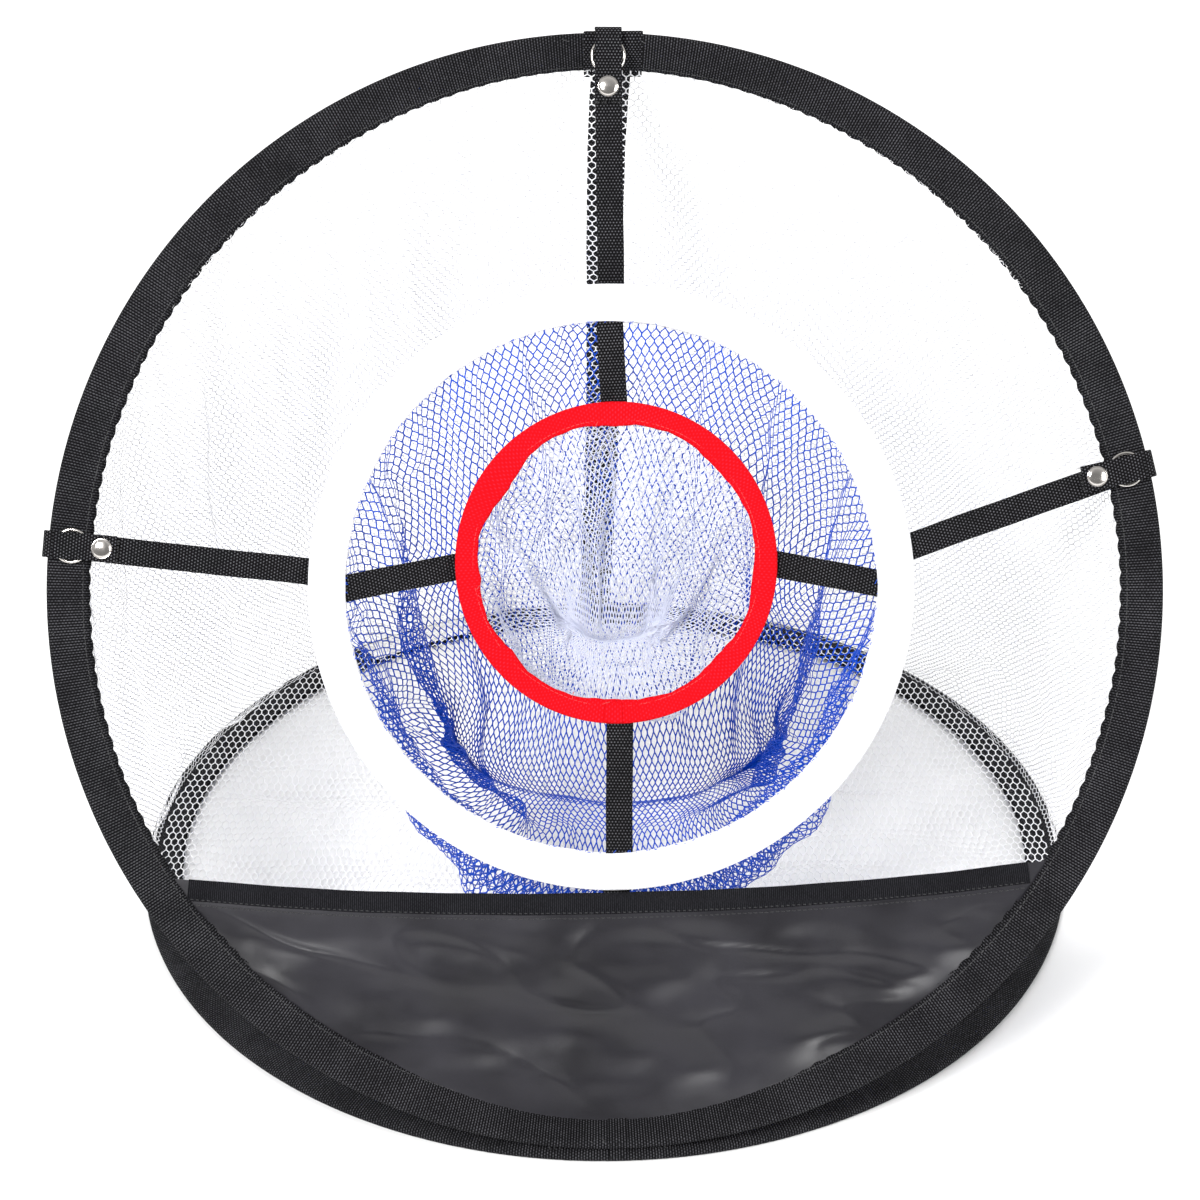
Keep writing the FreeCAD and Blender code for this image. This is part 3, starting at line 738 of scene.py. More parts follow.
def snap(side, body):
    """A flap with its frayed end and cap, the tab it folds out of, and the chrome ring below it."""
    tab = front.piece(f"snap_tab_{side}")
    flap = front.piece(f"snap_flap_{side}")
    cap = front.piece(f"snap_cap_{side}")
    ring_points = front.piece(f"o_ring_{side}")
    cap_centre = (cap.min(0) + cap.max(0)) / 2
    angle = math.atan2(cap_centre[1], cap_centre[0])
    out = polar(1, angle)
    across = np.array([-out[1], out[0], 0.0])
    flap_low = flap[:, 2].min()
    mid = flap_low + STRAP_THICKNESS / 2
    far = (flap @ out).min()
    hinge = (flap @ out).max()
    lies = ((hinge, mid), (hinge - 8, mid), (hinge - 16, mid - 0.05), (far + 4, mid - 0.1), (far, mid - 0.5))
    flap_path = [out * r + np.array([0, 0, z]) for r, z in lies]
    strap(f"snap_flap_{side}", front, flap_path, -across, STRAP_WIDTH, body, seed=31)
    end = flap_path[-1]
    parts = frayed_end(end, across, -out, np.array([0, 0, 1.0]), STRAP_WIDTH, 40 + len(side))
    parts = [(front.world(p), q, u) for p, q, u in parts]
    add_piece(f"flap_fray_{side}", join_meshes(f"flap_fray_{side}", parts), body, black_thread)

    bend = (tab @ out).max() - hinge - 0.15 - STRAP_THICKNESS / 2
    top = mid
    turn_z = top - bend
    last = -20 if side == "top" else -90
    arc = [out * (hinge + 0.15 + bend * math.cos(a)) + np.array([0, 0, turn_z + bend * math.sin(a)])
           for a in np.radians(np.linspace(90, last, 12))]
    if side != "top":
        arc.append(out * ((tab @ out).min()) + np.array([0, 0, turn_z - bend]))
    strap(f"snap_tab_{side}", front, arc, -across, STRAP_WIDTH, "front_hoop", seed=33)

    rod = (ring_points[:, 2].max() - ring_points[:, 2].min()) / 2
    centre = (ring_points.min(0) + ring_points.max(0)) / 2
    radius = np.linalg.norm(ring_points[:, :2] - centre[:2], axis=1).max() - rod
    torus(f"o_ring_{side}", centre, radius, rod, front, "front_hoop", nickel)

    cap_radius = np.linalg.norm(cap[:, :2] - cap_centre[:2], axis=1).max()
    seat = mid + STRAP_THICKNESS / 2
    crown = cap[:, 2].max() - seat
    profile = [(0.02, crown)]
    for a in np.linspace(0.2, TOP, 8):
        profile.append((cap_radius * 0.9 * math.sin(a), crown - 0.62 * crown * (1 - math.cos(a))))
    for a in np.linspace(1.9, -1.2, 8):
        profile.append((cap_radius * (0.955 + 0.045 * math.cos(a)), 0.36 + 0.3 * math.sin(a)))
    profile += [(cap_radius * 0.9, -0.02), (0.02, -0.02)]
    lathe(f"snap_cap_{side}", profile, np.array([*cap_centre[:2], seat]), front, body, nickel)


for side in ("top", "left", "right"):
    snap(side, f"{side}_flap")


# ---- rear strap and its sewn ends


hinge_at = np.array(next(j for j in frame["joints"] if j["name"] == FOLD_JOINT)["pos_m"]) / MM
halfway = unit(unit(front.y) + unit(base.y))
halfway_normal = np.cross(base.x, halfway)


def hinge_height(points):
    """Distance of points above the plane halfway between the hoops."""
    return (points - hinge_at) @ halfway_normal


def upper_patch():
    points = front.piece("rear_strap_upper_patch")
    width = np.ptp(points[:, 0])
    nose = front.nose + 0.6
    path = []
    for inward in (15.5, 10, 5, 0):
        height = 1.9 + (front.nose - 1.2) * (1 - inward / 17.5)
        path.append(front_band.at(TOP, inward, height) + [PATCH_SHIFT, 0, 0])
    for a in np.radians(np.linspace(70, -33, 8)):
        path.append(np.array([PATCH_SHIFT, front.wire + nose * math.cos(a), nose * math.sin(a)]))
    leave = np.array([0, math.sin(math.radians(-33)), -math.cos(math.radians(-33))])
    path += [path[-1] + leave * 10, path[-1] + leave * 30]
    strap("rear_strap_upper_patch", front, path, (1, 0, 0), width, "front_hoop", seed=51, thickness=0.95)


def lower_patch():
    width = np.ptp(node_points("rear_strap_lower_patch")[:, 0])
    rise = base.nose - 1.2
    path = [base_band.at(TOP, inward, 1.75 + rise * (1 - inward / 17.5)) for inward in (-0.5, 4, 9, 15)]
    strap("rear_strap_lower_patch", base, path, (1, 0, 0), width, "base_hoop", seed=52, thickness=0.9)


def rear_strap():
    """Taut webbing down the back, in two pieces that meet halfway between the hoops."""
    points = node_points("rear_strap")
    top = points[points[:, 2] > points[:, 2].max() - 15].mean(0)
    foot = points[points[:, 2] < points[:, 2].min() + 15].mean(0)
    top[0] = foot[0] = 0.0
    t = np.linspace(0, 1, 40)[:, None]
    line = top + (foot - top) * t
    line[:, 0] += 5 * np.sin(math.pi * t[:, 0]) - 3 + (PATCH_SHIFT + 3) * (1 - t[:, 0]) ** 5
    line[:, 1] += 5.5 * np.sin(math.pi * t[:, 0]) ** 0.7
    heights = hinge_height(line)
    cut = int(np.argmin(np.abs(heights)))
    for name, part, body, ring in (("rear_strap_upper", line[:cut + 1], "front_hoop", front),
                                   ("rear_strap_lower", line[cut:], "base_hoop", base)):
        made = strap(name, ring, ring.local(part), (1, 0, 0), REAR_STRAP_WIDTH, body, seed=53,
                     node_name="rear_strap")
        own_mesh(made)


upper_patch()
lower_patch()
rear_strap()


# ---- black cloth


def lie_flat(made):
    """Gives a piece of the front hoop its own copy of its mesh."""
    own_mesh(made)


def panel_edge(angle):
    """Where the cloth's outer edge is tucked, between the band's plies."""
    return front_band.at(angle, front.band - front.nose - TUCK, np.zeros_like(angle))


def panel_top(x):
    """Height of the cloth's top edge, which sags a little in the middle."""
    reach = x / 204.0
    return -142.8 + 11.0 * np.abs(reach) ** 2.2 + 2.0 * reach


def panel_wrinkles(x, y):
    def slanted(wide, high, slant):
        return np.stack([wide * x, high * y + slant * x, 0 * x], -1)

    long_folds = noise_field(slanted(1, 2.6, 0.35), 62, 3)
    short = noise_field(slanted(1, 1.9, -0.3), 26, 5)
    ridges = noise_field(slanted(0.75, 2.2, 0.5), 48, 7)
    creases = np.clip(1 - 4 * np.abs(ridges), 0, 1) ** 2
    return WRINKLES * long_folds + 1.0 * short + CREASES * creases


def black_panel():
    columns, rows = PANEL_COLUMNS, PANEL_ROWS
    ends = []
    for sign in (-1, 1):
        turn = np.linspace(BOTTOM, BOTTOM + sign * 1.3, 400)
        edge = panel_edge(turn)
        above = edge[:, 1] - panel_top(edge[:, 0])
        ends.append(turn[np.argmax(above > 0)])
    turn = np.linspace(ends[0], ends[1], columns)
    low = panel_edge(turn)
    t = np.linspace(0, 1, rows)[:, None]
    x = np.broadcast_to(low[None, :, 0], (rows, columns))
    top_y = panel_top(low[:, 0])
    y = top_y + (low[:, 1] - top_y) * t
    hang = smooth_step((t - 0.05) / 0.95)
    below_hem = smooth_step((top_y - y - HEM) / 16)
    above_band = smooth_step((y - low[:, 1]) / 22)
    z = low[None, :, 2] * hang + panel_wrinkles(x, y) * below_hem * above_band
    z = z - 1.5 * np.sin(math.pi * t) * below_hem
    grid = np.stack([x, y, z], -1)
    step_x = np.gradient(grid, axis=1)
    step_y = np.gradient(grid, axis=0)
    normal = unit(np.cross(step_y, step_x))
    layers = [grid + normal * HALF_CLOTH, grid - normal * HALF_CLOTH]
    size = rows * columns
    quads = [grid_quads(rows, columns), grid_quads(rows, columns, start=size)[:, ::-1]]
    border = np.concatenate([np.arange(columns), np.arange(1, rows) * columns + columns - 1,
                             (rows - 1) * columns + np.arange(columns - 2, -1, -1),
                             np.arange(rows - 2, 0, -1) * columns])
    following = np.roll(border, -1)
    quads.append(np.stack([following, border, border + size, following + size], 1))
    flat = np.stack([x, y], -1).reshape(-1, 2)
    points = front.world(np.concatenate([layer.reshape(-1, 3) for layer in layers]))
    mesh = quad_mesh("front_panel", points, np.vstack(quads)[:, ::-1], np.vstack([flat, flat]))
    made = add_piece("front_panel", mesh, "front_hoop", black_cloth)
    lie_flat(made)
    return made, grid


def panel_hem(grid):
    """The top edge, folded over twice: ribbed band with two rows of stitches below it."""
    top = grid[0]
    keep = np.abs(top[:, 0]) < HEM_HALF
    line = top[keep]
    line = line + [0, -4.6, 0.2]
    upright = np.array([0, 1.0, 0])
    loops, at, round_at = ribbon_loops(line, upright, HEM, 1.3, step=1.0, wander=0.15, seed=9)
    mesh = swept("panel_hem", front.world(loops), at, round_at, closed=False)
    hem = add_piece("panel_hem", mesh, "front_hoop", hem_cloth)
    parts = []
    stitch = np.array([[-1.0, 0, -0.3], [-0.5, 0.05, 0.1], [0.5, -0.05, 0.1], [1.0, 0, -0.3]])
    for drop, seed in ((8.9, 1), (11.6, 2)):
        rng = np.random.default_rng(seed)
        x = np.arange(3 - HEM_HALF, HEM_HALF - 3, STITCH_PITCH)
        row = np.stack([np.interp(x, top[:, 0], top[:, k]) for k in range(3)], 1)
        below = grid[int(drop / 100 * PANEL_ROWS) + 1]
        z = np.interp(x, below[:, 0], below[:, 2])
        row[:, 1] -= drop + rng.normal(0, 0.06, len(x))
        row[:, 2] = (row[:, 2] if drop < 10 else z) + (0.75 if drop < 10 else 0.45)
        for p in row:
            points, quads, uv = thin_rod(p + stitch, 0.24)
            parts.append((front.world(points), quads, uv))
    stitches = add_piece("panel_stitches", join_meshes("panel_stitches", parts), "front_hoop", black_thread)
    for made in (hem, stitches):
        lie_flat(made)
    return hem, stitches


def bottom_strap(grid):
    """Runs down behind the black cloth from the white ring to the hoop."""
    (start, end), low = run_of("outer_strap_bottom", front)
    forward, across = strap_frame(start, end)
    length = np.linalg.norm(end - start)
    middle_columns = np.abs(grid[0, :, 0] - start[0]) < 9
    back = grid[:, middle_columns, 2].min(1) - 1.6
    heights = grid[:, middle_columns, 1].mean(1)
    pairs = []
    for x in np.linspace(0, length, 24):
        y = (start + forward * x)[1]
        pairs.append((x, min(low, np.interp(-y, -heights, back)) if y < heights[0] + 6 else low))
    made = strap("outer_strap_bottom", front, along_run(start, forward, pairs), across, STRAP_WIDTH,
                 "front_hoop", seed=24)
    lie_flat(made)


panel, panel_grid = black_panel()
bottom_strap(panel_grid)
hem, hem_stitches = panel_hem(panel_grid)


# ---- nets


class Surface:
    """A grid of points that fabric coordinates are laid on, row by row."""

    def __init__(self, grid, closed):
        self.grid = np.concatenate([grid, grid[:, :1]], axis=1) if closed else grid
        self.rows = self.grid.shape[0] - 1
        self.columns = self.grid.shape[1] - 1

    def at(self, down, round_):
        """Points at shares 0 to 1 down and round the surface."""
        r = np.clip(down, 0, 1) * self.rows
        c = np.clip(round_, 0, 1) * self.columns
        r0 = np.clip(r.astype(int), 0, self.rows - 1)
        c0 = np.clip(c.astype(int), 0, self.columns - 1)
        fr, fc = (r - r0)[:, None], (c - c0)[:, None]
        g = self.grid
        upper = g[r0, c0] * (1 - fc) + g[r0, c0 + 1] * fc
        lower = g[r0 + 1, c0] * (1 - fc) + g[r0 + 1, c0 + 1] * fc
        return upper * (1 - fr) + lower * fr

    def normal(self, down, round_):
        step = 0.004
        a = self.at(down + step, round_) - self.at(down - step, round_)
        b = self.at(down, round_ + step) - self.at(down, round_ - step)
        return unit(np.cross(a, b))


def lattice(width, height, pitch, row, upright, closed):
    """Knitted net as fabric coordinates of its knots, and the pairs of knots its threads join.

    upright is the share of a row taken by the threads that run straight up.
    """
    across = int(round(width / pitch))
    pitch = width / across
    down = int(height / row) + 2
    j, i = np.meshgrid(np.arange(down), np.arange(across), indexing="ij")
    left = (i + 0.5 * (j % 2)) * pitch
    rise = row * (1 - upright)
    low = j * row
    high_knots = np.stack([left, low + upright * row / 2 + rise], -1).reshape(-1, 2)
    side_knots = np.stack([left + pitch / 2, low + upright * row / 2], -1).reshape(-1, 2)
    knots = np.concatenate([high_knots, side_knots])
    count = down * across
    index = (j * across + i).ravel()
    before = (j * across + (i - 1) % across).ravel()
    below = ((j - 1) * across + (i + j % 2) % across).ravel()
    real = (j > 0).ravel()
    pairs = np.concatenate([
        np.stack([index, count + index], 1),
        np.stack([index, count + before], 1),
        np.stack([count + index[real], below[real]], 1),
    ])
    if not closed:
        gap = np.abs(knots[pairs[:, 0], 0] - knots[pairs[:, 1], 0])
        pairs = pairs[gap < pitch]
    return knots, pairs


def thread_prisms(a, b, normal, width, height):
    """Three-sided threads from points a to points b, flat side against the fabric."""
    forward = unit(b - a)
    side = unit(np.cross(normal, forward)) * width / 2
    up = unit(normal) * height
    a = a - forward * width * 0.3
    b = b + forward * width * 0.3
    points = np.stack([a - side - up * 0.4, a + side - up * 0.4, a + up * 0.6,
                       b - side - up * 0.4, b + side - up * 0.4, b + up * 0.6], 1)
    start = np.arange(len(a))[:, None] * 6
    quads = np.concatenate([start + [0, 3, 4, 1], start + [1, 4, 5, 2], start + [2, 5, 3, 0]])
    return points.reshape(-1, 3), quads


def net_pieces(name, pairs, points, normals, width, groups, material):
    """Threads as mesh pieces, one for each group: (suffix, mask of pairs, body, ring, keep)."""
    for suffix, mask, body, ring, keep in groups:
        chosen = pairs[mask]
        a, b = points[chosen[:, 0]], points[chosen[:, 1]]
        normal = normals[chosen[:, 0]] + normals[chosen[:, 1]]
        mesh_points, quads = thread_prisms(a, b, normal, width, width * 0.4)
        mesh = quad_mesh(f"{name}_{suffix}", mesh_points, quads)
        piece = add_piece(f"{name}_{suffix}", mesh, body, material, name)
        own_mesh(piece)


def drape(grid, pinned, closed, frames, slack, stiffness):
    """Lets a grid of cloth hang from its pinned points, and returns where it comes to rest."""
    rows, columns = grid.shape[:2]
    mesh = quad_mesh("drape", grid.reshape(-1, 3), grid_quads(rows, columns, False, closed))
    cloth = bpy.data.objects.new("drape", mesh)
    bpy.context.scene.collection.objects.link(cloth)
    group = cloth.vertex_groups.new(name="pin")
    group.add([int(i) for i in np.flatnonzero(pinned.ravel())], 1.0, "REPLACE")
    modifier = cloth.modifiers.new("cloth", "CLOTH")
    settings = modifier.settings
    settings.vertex_group_mass = "pin"
    settings.quality = 5
    settings.mass = 0.05
    settings.air_damping = DAMPING
    settings.tension_stiffness = stiffness
    settings.compression_stiffness = stiffness * 0.6
    settings.shear_stiffness = stiffness * 0.25
    settings.bending_stiffness = 0.02
    settings.shrink_min = -slack
    settings.effector_weights.gravity = GRAVITY_SHARE
    modifier.collision_settings.use_collision = False
    modifier.point_cache.frame_start = 1
    modifier.point_cache.frame_end = frames
    scene = bpy.context.scene
    for step in range(1, frames + 1):
        scene.frame_set(step)
    shape = cloth.evaluated_get(bpy.context.evaluated_depsgraph_get()).to_mesh()
    out = np.empty(len(shape.vertices) * 3, np.float32)
    shape.vertices.foreach_get("co", out)
    out = out.reshape(rows, columns, 3).astype(float) / MM
    scene.frame_set(1)
    bpy.data.objects.remove(cloth)
    bpy.data.meshes.remove(mesh)
    return out


def wall_start(angle):
    """Upper edge of the wall net, tucked into the front binding."""
    return front.world(front_band.at(angle, front.band - front.nose - 1.0, np.full_like(angle, -0.1)))


def sewn_at(angle):
    """Distance in from the base wire of the nets' seam: near the wire, but at the inner edge in front."""
    in_front = smooth_step((-np.sin(angle) - 0.1) / 0.35)
    return SEWN_IN + (base_band.depth + 0.8 - SEWN_IN) * in_front, in_front


def wall_end(angle):
    """Lower edge of the wall net, sewn to the base binding."""
    inward, in_front = sewn_at(angle)
    height = (base_band.face(inward) + 0.5) * (1 - in_front) + 0.1 * in_front
    return base.world(base_band.at(angle, inward, height))


def wall_grid():
    columns, rows = 180, 48
    ends = 0.06
    angle = BOTTOM + ends + np.linspace(0, 1, columns) * (TURN - 2 * ends)
    upper = wall_start(angle)
    lower = wall_end(angle)
    s = np.linspace(0, 1, rows)[:, None, None]
    grid = upper[None] + (lower - upper)[None] * s
    outward = unit(np.stack([np.cos(angle), np.sin(angle), np.zeros_like(angle)], 1))
    length = np.linalg.norm(lower - upper, axis=1)
    swell = np.sin(math.pi * s) * (length[None, :, None] * 0.006)
    grid = grid + outward[None] * swell
    wave = noise_field(grid, 42, 2) + 0.5 * noise_field(grid, 17, 4)
    room = np.sin(math.pi * s[..., 0]) ** 0.7 * np.clip(length / 80, 0, 1)
    grid = grid + outward[None] * (wave * room * 2.5)[..., None]
    pinned = np.zeros((rows, columns), bool)
    pinned[[0, -1], :] = True
    pinned[:, [0, -1]] = True
    grid = drape(grid, pinned, False, frames=30, slack=0.012, stiffness=12.0)
    grid[..., 2] = np.maximum(grid[..., 2], 1.5)
    return Surface(grid, False), length


def outer_net():
    surface, length = wall_grid()
    width = TURN * (front.inner + base.inner) / 2
    knots, pairs = lattice(width, length.max(), WALL_PITCH, WALL_ROW, 0.55, False)
    share = knots[:, 0] / width
    local_length = np.interp(share, np.linspace(0, 1, len(length)), length)
    up = knots[:, 1] / np.maximum(local_length, 1)
    points = surface.at(1 - up, share)
    normals = surface.normal(1 - np.clip(up, 0, 1), share)
    inside = (up >= 0) & (up <= 1) & (share >= 0) & (share <= 1)
    pairs = pairs[inside[pairs].all(1)]
    at = points[pairs].mean(1)
    above = hinge_height(at) > 0
    left = at[:, 0] < 0
    groups = []
    halves = (("upper", above, "front_hoop", front), ("lower", ~above, "base_hoop", base))
    for word, half, body, ring in halves:
        groups.append((f"{word}_left", half & left, body, ring, WALL_KEEP))
        groups.append((f"{word}_right", half & ~left, body, ring, WALL_KEEP))
    net_pieces("outer_net", pairs, points, normals, WALL_THREAD, groups, white_net)


def floor_net():
    """Net floor, loose enough to lie in soft swirls."""
    radius = base.wire - SEWN_IN
    knots, pairs = lattice(2 * radius, 2 * radius, WALL_PITCH, FLOOR_ROW, 0.55, False)
    knots = knots - radius
    distance = np.linalg.norm(knots, axis=1)
    around = np.arctan2(knots[:, 1], knots[:, 0])
    inside = distance < base.wire - sewn_at(around)[0]
    pairs = pairs[inside[pairs].all(1)]
    flat = np.column_stack([knots, np.zeros(len(knots))])
    turn = 26 * noise_field(flat, 140, 6)
    warped = flat + np.column_stack([turn, -turn * 0.6, np.zeros(len(knots))])
    ridges = noise_field(warped * [1, 2.2, 1], 60, 8)
    rise = 9 * np.clip(ridges + 0.1, 0, 1) + 2.5 * np.clip(noise_field(warped, 22, 9), 0, 1)
    inward = np.maximum(base.wire - distance, 0)
    on_band = base_band.at(around, inward, base_band.face(inward) + 0.55)[:, 2]
    near_band = 1 - smooth_step((inward - base_band.depth) / FLOOR_RISE)
    rise = rise * smooth_step((inward - base_band.depth) / 40) + on_band * near_band
    shift = 2.5 * np.column_stack([noise_field(flat, 35, 12), noise_field(flat, 35, 13)])
    shift = shift * smooth_step((radius - distance) / 30)[:, None]
    points = base.world(np.column_stack([knots + shift, rise]))
    normals = np.tile([0.0, 0.0, 1.0], (len(points), 1))
    at = points[pairs].mean(1)
    left = at[:, 0] < 0
    groups = [("left", left, "base_hoop", base, FLOOR_KEEP), ("right", ~left, "base_hoop", base, FLOOR_KEEP)]
    net_pieces("floor_net", pairs, points, normals, FLOOR_THREAD, groups, white_net)


def pocket(ring, band, rows_of, columns, rows, tuck):
    """Starting shape of a pocket in the front ring's frame.

    Its rows hold depth, droop, half width and half height.
    """
    table = np.array(rows_of, float)
    run = np.concatenate([[0], np.cumsum(np.hypot(np.diff(table[:, 0]), np.diff(table[:, 3])))])
    at = np.linspace(0, run[-1], rows)
    depth, droop, wide, high = (np.interp(at, run, table[:, k])[:, None] for k in range(4))
    angle = np.arange(columns) / columns * TURN
    down = front.local((front.centre + [0, 0, -1])[None])[0]
    centre = ring.centre_in(front)
    sag = droop * (1 + 0.45 * np.sin(angle) ** 2 * (at[:, None] / run[-1]) ** 2)
    grid = centre - depth[..., None] * np.array([0, 0, 1.0]) + sag[..., None] * down
    grid = grid + np.stack([wide * np.cos(angle), high * np.sin(angle), 0 * wide * angle], -1)
    grid[0] = centre + band.at(angle, ring.band - ring.nose - tuck, np.zeros_like(angle))
    return grid, run[-1]


def hang(grid, folds, seed, slack, frames, stiffness, gather_size, crumple_size, pleat_size):
    """Adds gathers and pleats to a pocket, lets it hang, and sews its end shut along a line."""
    rows, columns = grid.shape[:2]
    angle = np.arange(columns) / columns * TURN
    s = np.linspace(0, 1, rows)[:, None]
    radial = np.stack([np.cos(angle), np.sin(angle), 0 * angle], 1)[None]
    closing = 1 - smooth_step((s - 0.7) / 0.28)
    gather = ripple(angle, folds, seed)[None] * smooth_step(s * 1.6) * closing
    crumple = noise_field(grid, 34, seed) + 0.5 * noise_field(grid, 15, seed)
    crumple = crumple * smooth_step(s * 2.5)
    grid = grid + radial * (gather_size * gather + crumple_size * crumple * closing)[..., None]
    grid[..., 2] += crumple_size * 0.8 * np.roll(crumple, 11, 1) * closing
    lower = 0.35 + 0.65 * smooth_step((0.35 - np.sin(angle)) / 1.1)
    level = 2.4 * s + 0.3 * ripple(angle, (1, 2, 3), seed + 1)[None]
    pleat = np.sin(TURN * level) * lower[None] * smooth_step(s * 4) * closing
    grid = grid + radial * (pleat_size * pleat)[..., None]
    world = front.world(grid)
    pinned = np.zeros((rows, columns), bool)
    pinned[0] = True
    world = drape(world, pinned, True, frames, slack, stiffness)
    opposite = world[:, -np.arange(columns) % columns]
    sewn = smooth_step((s - 0.62) / 0.38)[..., None]
    world = world * (1 - sewn) + (world + opposite) / 2 * sewn
    return world


def pocket_net(name, ring, band, table, material, *, around, columns, rows, folds, seed, pitch, row, thread,
               upright, frames, slack, stiffness, gather_size, crumple_size, pleat_size):
    grid, length = pocket(ring, band, table, columns, rows, 3.5)
    world = hang(grid, folds, seed, slack, frames, stiffness, gather_size, crumple_size, pleat_size)
    surface = Surface(world, True)
    around = around * (1 + slack)
    length = length * (1 + slack)
    knots, pairs = lattice(around, length, pitch, row, upright, True)
    share = (knots[:, 0] / around) % 1.0
    down = knots[:, 1] / length
    keep = down <= 1
    pairs = pairs[keep[pairs].all(1)]
    points = surface.at(down, share)
    normals = surface.normal(down, share)
    everything = np.ones(len(pairs), bool)
    groups = [("threads", everything, "front_hoop", front, POCKET_KEEP)]
    net_pieces(name, pairs, points, normals, thread, groups, material)


BLUE_ROWS = ((0, 0, 128, 128), (20, 8, 128, 128), (55, 20, 124, 118), (90, 38, 112, 86), (110, 52, 100, 42),
             (116, 60, 90, 4))
WHITE_ROWS = ((0, 0, 68, 68), (14, 2, 68, 68), (34, 6, 62, 62), (48, 10, 48, 44), (54, 14, 30, 20),
              (55, 16, 20, 3))

outer_net()
floor_net()
pocket_net("middle_pocket_net", middle, middle_band, BLUE_ROWS, blue_net, around=TURN * 122, columns=120,
           rows=44, folds=(5, 8, 13, 21), seed=5, pitch=BLUE_PITCH, row=BLUE_ROW, thread=BLUE_THREAD,
           upright=0.3, frames=30, slack=0.09, stiffness=6.0, gather_size=7.0, crumple_size=6.0,
           pleat_size=15.0)
pocket_net("inner_pocket_net", inner, inner_band, WHITE_ROWS, shaded_pocket_white, around=TURN * 66, columns=96,
           rows=30, folds=(4, 7, 11, 18), seed=6, pitch=INNER_PITCH, row=INNER_ROW, thread=INNER_THREAD,
           upright=0.3, frames=24, slack=0.06, stiffness=6.0, gather_size=6.0, crumple_size=5.0,
           pleat_size=6.0)


# ---- stitches, lapped ends and loose threads


def stitch_row(name, band, body, material, *, from_edge, pitch, thread):
    """One row of stitches right round a binding's front ply."""
    inward = band.depth - from_edge
    count = int(TURN * (band.ring.wire - inward) / pitch)
    angle = np.arange(count) / count * TURN
    reach = 0.34 * pitch / band.ring.wire
    height = band.face(np.full(count, inward)) + 0.02
    a = band.ring.world(band.at(angle - reach, inward, height))
    b = band.ring.world(band.at(angle + reach, inward, height))
    points, quads = thread_prisms(a, b, np.tile(band.ring.z, (count, 1)), thread, thread * 0.5)
    add_piece(name, quad_mesh(name, points, quads, points[:, :2]), body, material)


def patch_on_band(name, band, turn, inward, above, below, origin, body, material):
    """A patch that lies on a band's face, from above it to below it."""
    height = band.face(inward)[None]
    inwards = inward[None]
    top = band.at(turn[:, None], inwards, height + above)
    low = band.at(turn[:, None], inwards[:, ::-1], height[:, ::-1] + below)
    world = band.ring.world(np.concatenate([top, low], axis=1))
    at = (turn - origin) * band.ring.wire
    mesh = swept(name, world, at, np.concatenate([inward, inward[::-1]]), closed=False, flip=True)
    add_piece(name, mesh, body, material)


def lapped_end(name, band, angle, body, material, length):
    """Where a binding's end laps over its start."""
    turn = angle + np.linspace(0, length / band.ring.wire, 12)
    inward = np.linspace(-0.7 * band.ring.nose, band.depth - 0.5, 9)
    patch_on_band(name, band, turn, inward, 0.5, -0.1, BOTTOM, body, material)


def thread_ends(name, band, angles, material, *, inward, length, lift, thread, seed):
    """Short cut ends of thread that stick out from a binding of the front hoop."""
    rng = np.random.default_rng(seed)
    count = len(angles)
    root = band.at(angles, inward, band.face(np.full(count, inward)) + lift)
    inwards = -np.stack([np.cos(angles), np.sin(angles), 0 * angles], 1)
    sideways = np.stack([-np.sin(angles), np.cos(angles), 0 * angles], 1)
    reach = rng.uniform(0.4, 1, (count, 1)) * length
    aim = inwards * rng.uniform(0.2, 1, (count, 1)) + sideways * rng.normal(0, 0.8, (count, 1))
    aim = unit(aim + np.array([0, 0, 0.25]))
    curl = sideways * rng.normal(0, 0.5, (count, 1)) + np.array([0, 0, 0.2])
    line = [root, root + aim * reach * 0.5, root + (aim * 0.9 + curl * 0.5) * reach]
    starts = band.ring.world(np.vstack(line[:2]))
    ends = band.ring.world(np.vstack(line[1:]))
    points, quads = thread_prisms(starts, ends, np.tile(band.ring.z, (2 * count, 1)), thread, thread * 0.6)
    add_piece(name, quad_mesh(name, points, quads, points[:, :2]), "front_hoop", material)


stitch_row("front_stitches", front_band, "front_hoop", black_thread, from_edge=2.6, pitch=2.8, thread=0.36)
stitch_row("base_stitches", base_band, "base_hoop", black_thread, from_edge=2.6, pitch=2.8, thread=0.36)
stitch_row("white_stitches", middle_band, "front_hoop", white_thread, from_edge=2.2, pitch=2.6, thread=0.34)
stitch_row("red_stitches", inner_band, "front_hoop", red_thread, from_edge=2.0, pitch=2.4, thread=0.3)
lapped_end("front_lap", front_band, BOTTOM - 0.004, "front_hoop", black_binding, length=9)
lapped_end("base_lap", base_band, BOTTOM - 0.004, "base_hoop", black_binding, length=9)
lapped_end("white_lap", middle_band, BOTTOM - 0.02, "front_hoop", white_webbing, length=10)
lapped_end("red_lap", inner_band, BOTTOM - 0.09, "front_hoop", red_webbing, length=9)
rng = np.random.default_rng(71)
net_end_turns = rng.uniform(0.62, 2.52, 240)
blue_end_turns = rng.uniform(0, TURN, 170)
red_turns = np.array([1.69, 3.32, 3.36, 4.39, 4.6, 0.1])
black_turns = np.array([1.5, 1.64, 3.0, 3.2, 4.68, 4.7])
thread_ends("white_net_ends", front_band, net_end_turns, white_net, inward=front_band.depth - 0.6,
            length=2.4, lift=-0.6, thread=0.3, seed=81)
thread_ends("blue_net_ends", middle_band, blue_end_turns, blue_net, inward=middle_band.depth - 0.8,
            length=3.0, lift=-0.4, thread=0.32, seed=82)
